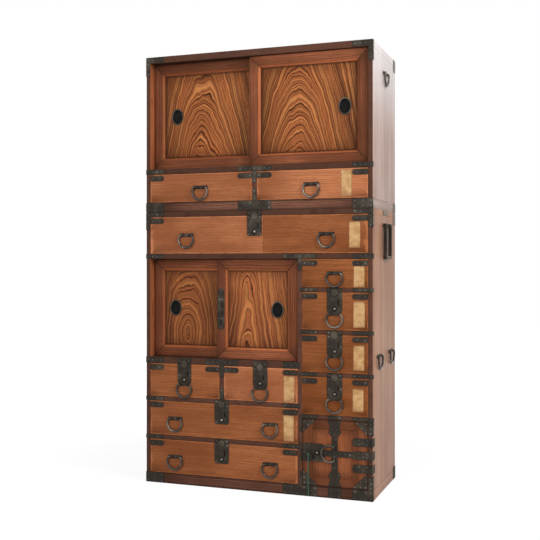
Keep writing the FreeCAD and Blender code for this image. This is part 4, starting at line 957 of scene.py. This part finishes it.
def sheet_nails(face):
    """Places for two rows of nails on a rectangular sheet."""
    low, high = limits(face)
    across, along = sorted(range(3), key=lambda axis: high[axis] - low[axis])[1:]
    count = max(round((high[along] - low[along] - 2 * NAIL_INSET) / NAIL_SPACING), 1)
    places = []
    for level in (low[across] + SHEET_INSET, high[across] - SHEET_INSET):
        start, end = (low + high) / 2, (low + high) / 2
        start[across], start[along] = level, low[along] + SHEET_INSET
        end[across], end[along] = level, high[along] - SHEET_INSET
        places += row_of(start, end, count)
    return places


def lock_nails(low, high):
    """Places for nails down both sides of a lock plate."""
    count = max(round((high.z - low.z) / NAIL_SPACING), 2)
    inset = NAIL_INSET if high.x - low.x > STRAP_WIDTH else LOCK_INSET
    places = []
    for side in (low.x + inset, high.x - inset):
        ends = [Vector((side, low.y, level)) for level in (low.z + NAIL_INSET, high.z - NAIL_INSET)]
        places += row_of(*ends, count)
    return [place for place in places if clear_of_rings(place)]


def clear_of_rings(place):
    """Whether a ring can swing past a nail here without touching it."""
    return all(abs(place.x - pivot.x) > RING_ACROSS or abs(place.z - pivot.z) > RING_CLEAR
               for pivot in RING_PIVOTS)


def is_lock(low, high):
    """Lock plates are the thick ones, and the long one on a door's stile."""
    size = high - low
    return LOCK_THICK[0] < size.y < LOCK_THICK[1] or size.z > LONG_PLATE and size.x < STRAP_WIDTH


def plate_nails(build, low, high, found):
    """Add the nail places on one plate to those found, as pairs of a point and the way it faces."""
    if is_lock(low, high):
        found += [(place, FORWARD) for place in lock_nails(low, high)]
        return
    if high.z - low.z > FLARE_LENGTH and high.x - low.x > STRAP_WIDTH:
        found += [(place, FORWARD) for place in flare_nails(low, high)]
    for face in build.faces:
        facing = face.normal
        turned_away = facing.y > MOSTLY or max(abs(facing.x), abs(facing.y)) < SQUARELY
        if turned_away or face.calc_area() < NAILED_AREA:
            continue
        sides = sorted(top - bottom for bottom, top in zip(*limits(face)))
        if sides[1] < STRAP_WIDTH and sides[2] > STRAP_SHAPE * sides[1]:
            places = strap_nails(face, sides[1])
        else:
            places = sheet_nails(face) if half_sheet(face) else outline_nails(face)
        for place in places:
            if all((place - other).length > NAIL_JOIN for other, _ in found):
                found.append((place, facing.copy()))


print("rings to keep clear of:", len(RING_PIVOTS))

# %% [markdown]
# The plates themselves are mostly one dark finish, but not all over. The studs are rubbed bright and carry a
# painted highlight with painted shade round it, the finger cups are painted black inside as shade and worn on
# the rim, a lock has a keyhole painted dark as shade and a right edge painted light as a highlight, a boss is
# rubbed on its face and painted dark as shade round its rim, and the plates high on the sides are painted pale.

# %% Plates, locks and cups
PLATE_ROUND, LOCK_ROUND, BOSS_ROUND = 0.0004, 0.0012, 0.0014
STUD_SIZE, STUD_FLAT, DOME_RADIUS = 0.0205, 0.6, 0.0057
BOSS_SIZE, BOSS_FACE, LOCK_EDGE = (0.024, 0.028), -0.98, 0.3
CUP_DEPTH, CUP_RIM = 0.011, 0.0026
SIDE_PLATE, SIDE_PALE_DROP = 0.004, 0.15
SLOT_CLEAR, SLOT_DEPTH = 0.003, 0.0003


def is_boss(low, high):
    """A lock's round boss is a flat disc of its own size."""
    size = high - low
    return BOSS_SIZE[0] < size.x < BOSS_SIZE[1] and abs(size.x - size.z) < HAIR and size.y < LOCK_THICK[1]


def iron_finish(face, low, high, has_cup):
    """0 for plates, 1 for the tops of the domed studs, rubbed and with a painted highlight, and for the plates
    high on the sides, painted pale, 2 for painted shade in a cup's well and on the dark rims of studs and bosses,
    3 for a cup's worn rim, a boss's rubbed face and a lock's right edge, painted light as a highlight."""
    size = high - low
    place = face.calc_center_median()
    if is_boss(low, high):
        return 3 if face.normal.y < BOSS_FACE else 2
    if is_lock(low, high) and face.normal.x > LOCK_EDGE and place.x > high.x - SLOT_CLEAR:
        return 3
    if max(size) < STUD_SIZE and abs(size.x - size.z) < SLOT_CLEAR and size.y < size.x * STUD_FLAT:
        off_centre = place - (low + high) / 2
        return 1 if math.hypot(off_centre.x, off_centre.z) < DOME_RADIUS else 2
    if has_cup and size.y > CUP_DEPTH:
        return 2 if place.y > low.y + CUP_RIM else 3
    on_side = 0 < abs(place.x) - HALF_WIDTH < SIDE_PLATE and abs(face.normal.x) > NEARLY
    return 1 if on_side and place.z > LOWER_TOP - SIDE_PALE_DROP else 0


def dark_behind(build, low, high):
    """A thin dark slip at the bottom of a plate's keyhole, where the lock's works would swallow the light."""
    walls = [face for face in build.faces if abs(face.normal.x) > SQUARELY
             and low.x + SLOT_CLEAR < face.calc_center_median().x < high.x - SLOT_CLEAR]
    if not walls or not is_lock(low, high):
        return None
    slot_low, slot_high = limits(*walls)
    slot_low.y = slot_high.y - SLOT_DEPTH
    slip = bmesh.new()
    bmesh.ops.create_cube(slip, size=1.0)
    bmesh.ops.scale(slip, vec=slot_high - slot_low, verts=slip.verts)
    bmesh.ops.translate(slip, vec=(slot_low + slot_high) / 2, verts=slip.verts)
    return slip


def iron_piece(node, body):
    """Copy an iron node with filed edges and remember its nails."""
    solids, numbers = [], []
    for build in solids_of(node):
        low, high = limits(build)
        plate_nails(build, low, high, nails.setdefault(body, []))
        slip = dark_behind(build, low, high)
        if is_boss(low, high):
            round_edges(build, BOSS_ROUND, 3)
        else:
            round_edges(build, LOCK_ROUND if is_lock(low, high) else PLATE_ROUND, 1)
        numbers += [iron_finish(face, low, high, node.endswith("_pull")) for face in build.faces]
        solids.append(build)
        if slip:
            numbers += [2] * len(slip.faces)
            solids.append(slip)
    mesh = joined(node + "_plates", solids, numbers, {})
    piece = new_piece(node + "_plates", mesh, body, sheet_iron, stud_iron, well_iron, edge_iron)
    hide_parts(node)


BODY_OF = {node: body for body, members in frame["record"]["behaviour"]["bodies"].items() for node in members}
for node in sorted(frame["nodes"]):
    if node.endswith(("_irons", "_pull")):
        iron_piece(node, BODY_OF[node])
# The pole handles are bare bars without nails.
for node in ("left_pole_handle", "right_pole_handle"):
    iron_piece(node, node)
    nails.pop(node)
print("nails noted:", {body: len(places) for body, places in nails.items()})

# %% [markdown]
# The ring pulls are the smith's work. A bar is drawn thin at both ends, bent round, and its ends are
# sprung into two eyes. Sweeping a round section along that path gives the swell at the bottom of the
# ring, where a finger pulls, and the thin pins at the top. One function makes every ring from its pivot
# and the way it hangs.

# %% Forged rings
PIN_RADIUS, SIDE_RADIUS, BOTTOM_RADIUS = 0.0024, 0.0039, 0.0045
PULL = {"radius": 0.0305, "drop": 0.018, "pin": 0.011}
CARRY = {"radius": 0.035, "drop": 0.010, "pin": 0.020}
BEND, PIN_STEP = 0.004, 0.002
ARC_STEPS, PIN_POINTS, HAMMERED = 44, 3, 0.03


def ring_path(radius, drop, pin):
    """The bar's middle line: a pin, a bend, the long arc, a bend and the other pin."""
    half = math.sqrt(radius ** 2 - drop ** 2)
    start = math.atan2(drop, half)
    arc = [start - (math.pi + 2 * start) * step / ARC_STEPS for step in range(2, ARC_STEPS - 1)]
    right = [(pin, 0), (pin + PIN_STEP, 0), (half - BEND, 0), (half - BEND * 0.3, -BEND * 0.15)]
    left = [(-across, down) for across, down in reversed(right)]
    return right + [(radius * math.cos(a), radius * math.sin(a) - drop) for a in arc] + left


def forged_ring(centre, pins, hang, form):
    path = ring_path(**form)
    points = [centre + pins * across - hang * down for across, down in path]
    deepest = form["radius"] + form["drop"]

    def thickness(index, angle):
        if not PIN_POINTS <= index < len(path) - PIN_POINTS:
            return PIN_RADIUS
        share = min(-path[index][1] / deepest, 1)
        hammered = 1 + HAMMERED * math.sin(5 * angle + index) + HAMMERED * math.sin(index * 0.7)
        return (SIDE_RADIUS + (BOTTOM_RADIUS - SIDE_RADIUS) * share ** 3) * hammered
    return swept(points, thickness)


ring_count = 0
for joint in frame["joints"]:
    name = joint["child"]
    if not name.endswith(("_ring", "_rings")):
        continue
    low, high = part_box(name)
    pivot = Vector(joint["pos_m"])
    if name == "safe_door_ring":
        places = [(pivot, Z_WAY, -X_WAY, PULL)]
    elif name.startswith(("left_", "right_")):
        reach = CARRY["radius"] + (high.x - low.x) / 2
        ends = {round(low.y + reach, 4), round(high.y - reach, 4)}
        places = [(Vector((pivot.x, end, pivot.z)), Y_WAY, -Z_WAY, CARRY) for end in sorted(ends)]
    else:
        places = [(Vector(((low.x + high.x) / 2, pivot.y, pivot.z)), X_WAY, -Z_WAY, PULL)]
    build = bmesh.new()
    for place in places:
        part = forged_ring(*place)
        build.from_mesh(part)
        bpy.data.meshes.remove(part)
    piece = new_piece(name + "_forged", smooth_mesh(name + "_forged", build), name, ring_iron)
    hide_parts(name)
    ring_count += len(places)
print("rings:", ring_count)

# %% [markdown]
# Hundreds of nails hold the irons. Geometry Nodes suits that: one small flattened ball is made once and
# copied to every noted point, turned to the plate it sits on, with a random size from a fixed seed. The
# tree ends by making the copies real and giving them their finish, and we keep the plain mesh, so that
# the nails of each body are one mesh.

# %% Nails by nodes
NAIL_VALUES = {"Radius": 0.0029, "Spread": 0.18, "Seed": 11, "Finish": nail_iron}
NAIL_KINDS = {"Radius": "Float", "Spread": "Float", "Seed": "Int", "Finish": "Material"}
NAIL_HEIGHT = 0.5
# A Random Value node names its sockets alike for every kind of value, so those for numbers go by position.
RANDOM_LOW, RANDOM_HIGH, RANDOM_RESULT = 2, 3, 1


def nail_tree():
    tree = bpy.data.node_groups.new("Nail heads", "GeometryNodeTree")
    tree.interface.new_socket("Geometry", in_out="INPUT", socket_type="NodeSocketGeometry")
    for name, kind in NAIL_KINDS.items():
        tree.interface.new_socket(name, in_out="INPUT", socket_type="NodeSocket" + kind)
    tree.interface.new_socket("Geometry", in_out="OUTPUT", socket_type="NodeSocketGeometry")
    given, out = tree.nodes.new("NodeGroupInput").outputs, tree.nodes.new("NodeGroupOutput").inputs
    ball = add(tree, "GeometryNodeMeshUVSphere", Segments=8, Rings=4)
    dome = add(tree, "GeometryNodeTransform", Scale=(1, 1, NAIL_HEIGHT))
    facing = add(tree, "GeometryNodeInputNamedAttribute", data_type="FLOAT_VECTOR", Name="facing")
    turned = add(tree, "FunctionNodeAlignRotationToVector", axis="Z")
    size = add(tree, "FunctionNodeRandomValue", data_type="FLOAT")
    spread = add(tree, "GeometryNodeInstanceOnPoints")
    real = add(tree, "GeometryNodeRealizeInstances")
    finish = add(tree, "GeometryNodeSetMaterial")
    wires = (
        (ball.inputs["Radius"], given["Radius"]),
        (dome.inputs["Geometry"], ball.outputs["Mesh"]),
        (turned.inputs["Vector"], facing.outputs[0]),
        (size.inputs[RANDOM_LOW], minus(tree, 1.0, given["Spread"])),
        (size.inputs[RANDOM_HIGH], plus(tree, 1.0, given["Spread"])),
        (size.inputs["Seed"], given["Seed"]),
        (spread.inputs["Points"], given["Geometry"]),
        (spread.inputs["Instance"], dome.outputs[0]),
        (spread.inputs["Rotation"], turned.outputs[0]),
        (spread.inputs["Scale"], size.outputs[RANDOM_RESULT]),
        (real.inputs[0], spread.outputs[0]),
        (finish.inputs["Geometry"], real.outputs[0]),
        (finish.inputs["Material"], given["Finish"]),
        (out[0], finish.outputs[0]),
    )
    for socket, source in wires:
        feed(tree, socket, source)
    return tree


NAILS = nail_tree()
NAIL_SOCKETS = {item.name: item.identifier for item in NAILS.interface.items_tree if item.in_out == "INPUT"}


def nail_piece(body, places):
    points = bpy.data.meshes.new(body + "_nail_points")
    points.from_pydata([place for place, _ in places], [], [])
    layer = points.attributes.new("facing", "FLOAT_VECTOR", "POINT")
    for fact, (_, facing) in zip(layer.data, places):
        fact.vector = facing
    holder = bpy.data.objects.new(body + "_nail_points", points)
    scene.collection.objects.link(holder)
    spread = holder.modifiers.new("nails", "NODES")
    spread.node_group = NAILS
    for name, value in NAIL_VALUES.items():
        spread[NAIL_SOCKETS[name]] = value
    ready = holder.evaluated_get(bpy.context.evaluated_depsgraph_get())
    mesh = bpy.data.meshes.new_from_object(ready)
    bpy.data.objects.remove(holder)
    bpy.data.meshes.remove(points)
    mesh.name = body + "_nails"
    mesh.shade_smooth()
    piece = new_piece(body + "_nails", mesh, body)
    return len(mesh.polygons)


nail_faces = sum(nail_piece(body, places) for body, places in nails.items() if places)
print("nails:", sum(len(places) for places in nails.values()), "with", nail_faces, "faces")

# %% [markdown]
# A merchant pasted a paper slip on some of the drawers. The slips have gone tan, dark at the rim and
# stained low down. They are thin sheets with an uneven torn outline, a hair off the wood, lifting at the
# corners. They stay bare here.

# %% Paper slips
LABELS = {
    "upper_right_drawer": (337, 377, 1106, 1203),
    "wide_drawer": (367, 409, 917, 1012),
    "column_drawer_1": (384, 425, 773, 850),
    "column_drawer_2": (383, 426, 627, 722),
    "column_drawer_3": (383, 424, 471, 562),
    "column_drawer_4": (380, 421, 322, 405),
    "small_right_drawer": (116, 158, 343, 440),
    "long_upper_drawer": (115, 156, 197, 294),
}
PAPER_LIFT, PAPER_CURL, CURLED_FROM = 0.0004, 0.0045, 1.55
TORN_IN, TORN_OUT = -0.0009, 0.0005
PAPER_COLUMNS, PAPER_ROWS, PAPER_SEED = 8, 18, 5
FIBRE_SCALES, BLOT_SCALE = (900, 900, 160), 46


def paper_finish():
    material, tree, shader = finish_of("aged_paper", Roughness=0.85)
    across, up, _ = split(tree, stored(tree, "span"))
    blots = noise(tree, here(tree), BLOT_SCALE, 4, 0.6)
    fibres = noise(tree, here(tree), FIBRE_SCALES, 2)
    base = blend(tree, steps(tree, blots, 0.35, 0.7), rgb(214, 172, 118), rgb(186, 136, 84))
    base = tint(tree, base, rgb(150, 104, 64), steps(tree, fibres, 0.5, 0.75), 0.35)
    rim = most(tree, unsigned(tree, across), unsigned(tree, up))
    rim = steps(tree, plus(tree, rim, times(tree, blots, 0.2)), 0.9, 1.12)
    base = tint(tree, base, rgb(132, 84, 50), rim, 0.55)
    stain = steps(tree, minus(tree, times(tree, blots, 0.9), up), 0.9, 1.3)
    feed(tree, shader.inputs["Base Color"], tint(tree, base, rgb(140, 88, 48), stain, 0.3))
    bump(tree, shader, fibres, 0.0003, 0.4)
    return material


def paper_slip(left, right, bottom, top, face, dice):
    """A thin sheet of small squares with a torn rim."""
    width, height = right - left, top - bottom
    build = bmesh.new()
    span = build.verts.layers.float_vector.new("span")
    grid = []
    for row in range(PAPER_ROWS + 1):
        line = []
        for column in range(PAPER_COLUMNS + 1):
            u, v = 2 * column / PAPER_COLUMNS - 1, 2 * row / PAPER_ROWS - 1
            rim = column in (0, PAPER_COLUMNS) or row in (0, PAPER_ROWS)
            torn = dice.uniform(TORN_IN, TORN_OUT) if rim else 0
            curl = PAPER_CURL * max(abs(u) + abs(v) - CURLED_FROM, 0) ** 2
            x = left + width * (u + 1) / 2 + torn * u
            z = bottom + height * (v + 1) / 2 + torn * v
            vertex = build.verts.new((x, face - PAPER_LIFT - curl, z))
            vertex[span] = (u, v, 0)
            line.append(vertex)
        grid.append(line)
    for lower, upper in zip(grid, grid[1:]):
        for column in range(PAPER_COLUMNS):
            build.faces.new((lower[column], lower[column + 1], upper[column + 1], upper[column]))
    return smooth_mesh("paper_slip", build)


paper = paper_finish()
dice = random.Random(PAPER_SEED)
for name, edges in LABELS.items():
    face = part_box(name)[0].y
    mesh = paper_slip(*[edge * MM for edge in edges], face, dice)
    new_piece(name + "_slip", mesh, name, paper)
print("paper slips:", len(LABELS))

# %% [markdown]
# The plain Standard view keeps colours as they are written. The finished chest passes the frame's box by
# little more than a millimetre, where the knot of the cord stands out at the front.

# %% Finish
scene.view_settings.view_transform = "Standard"
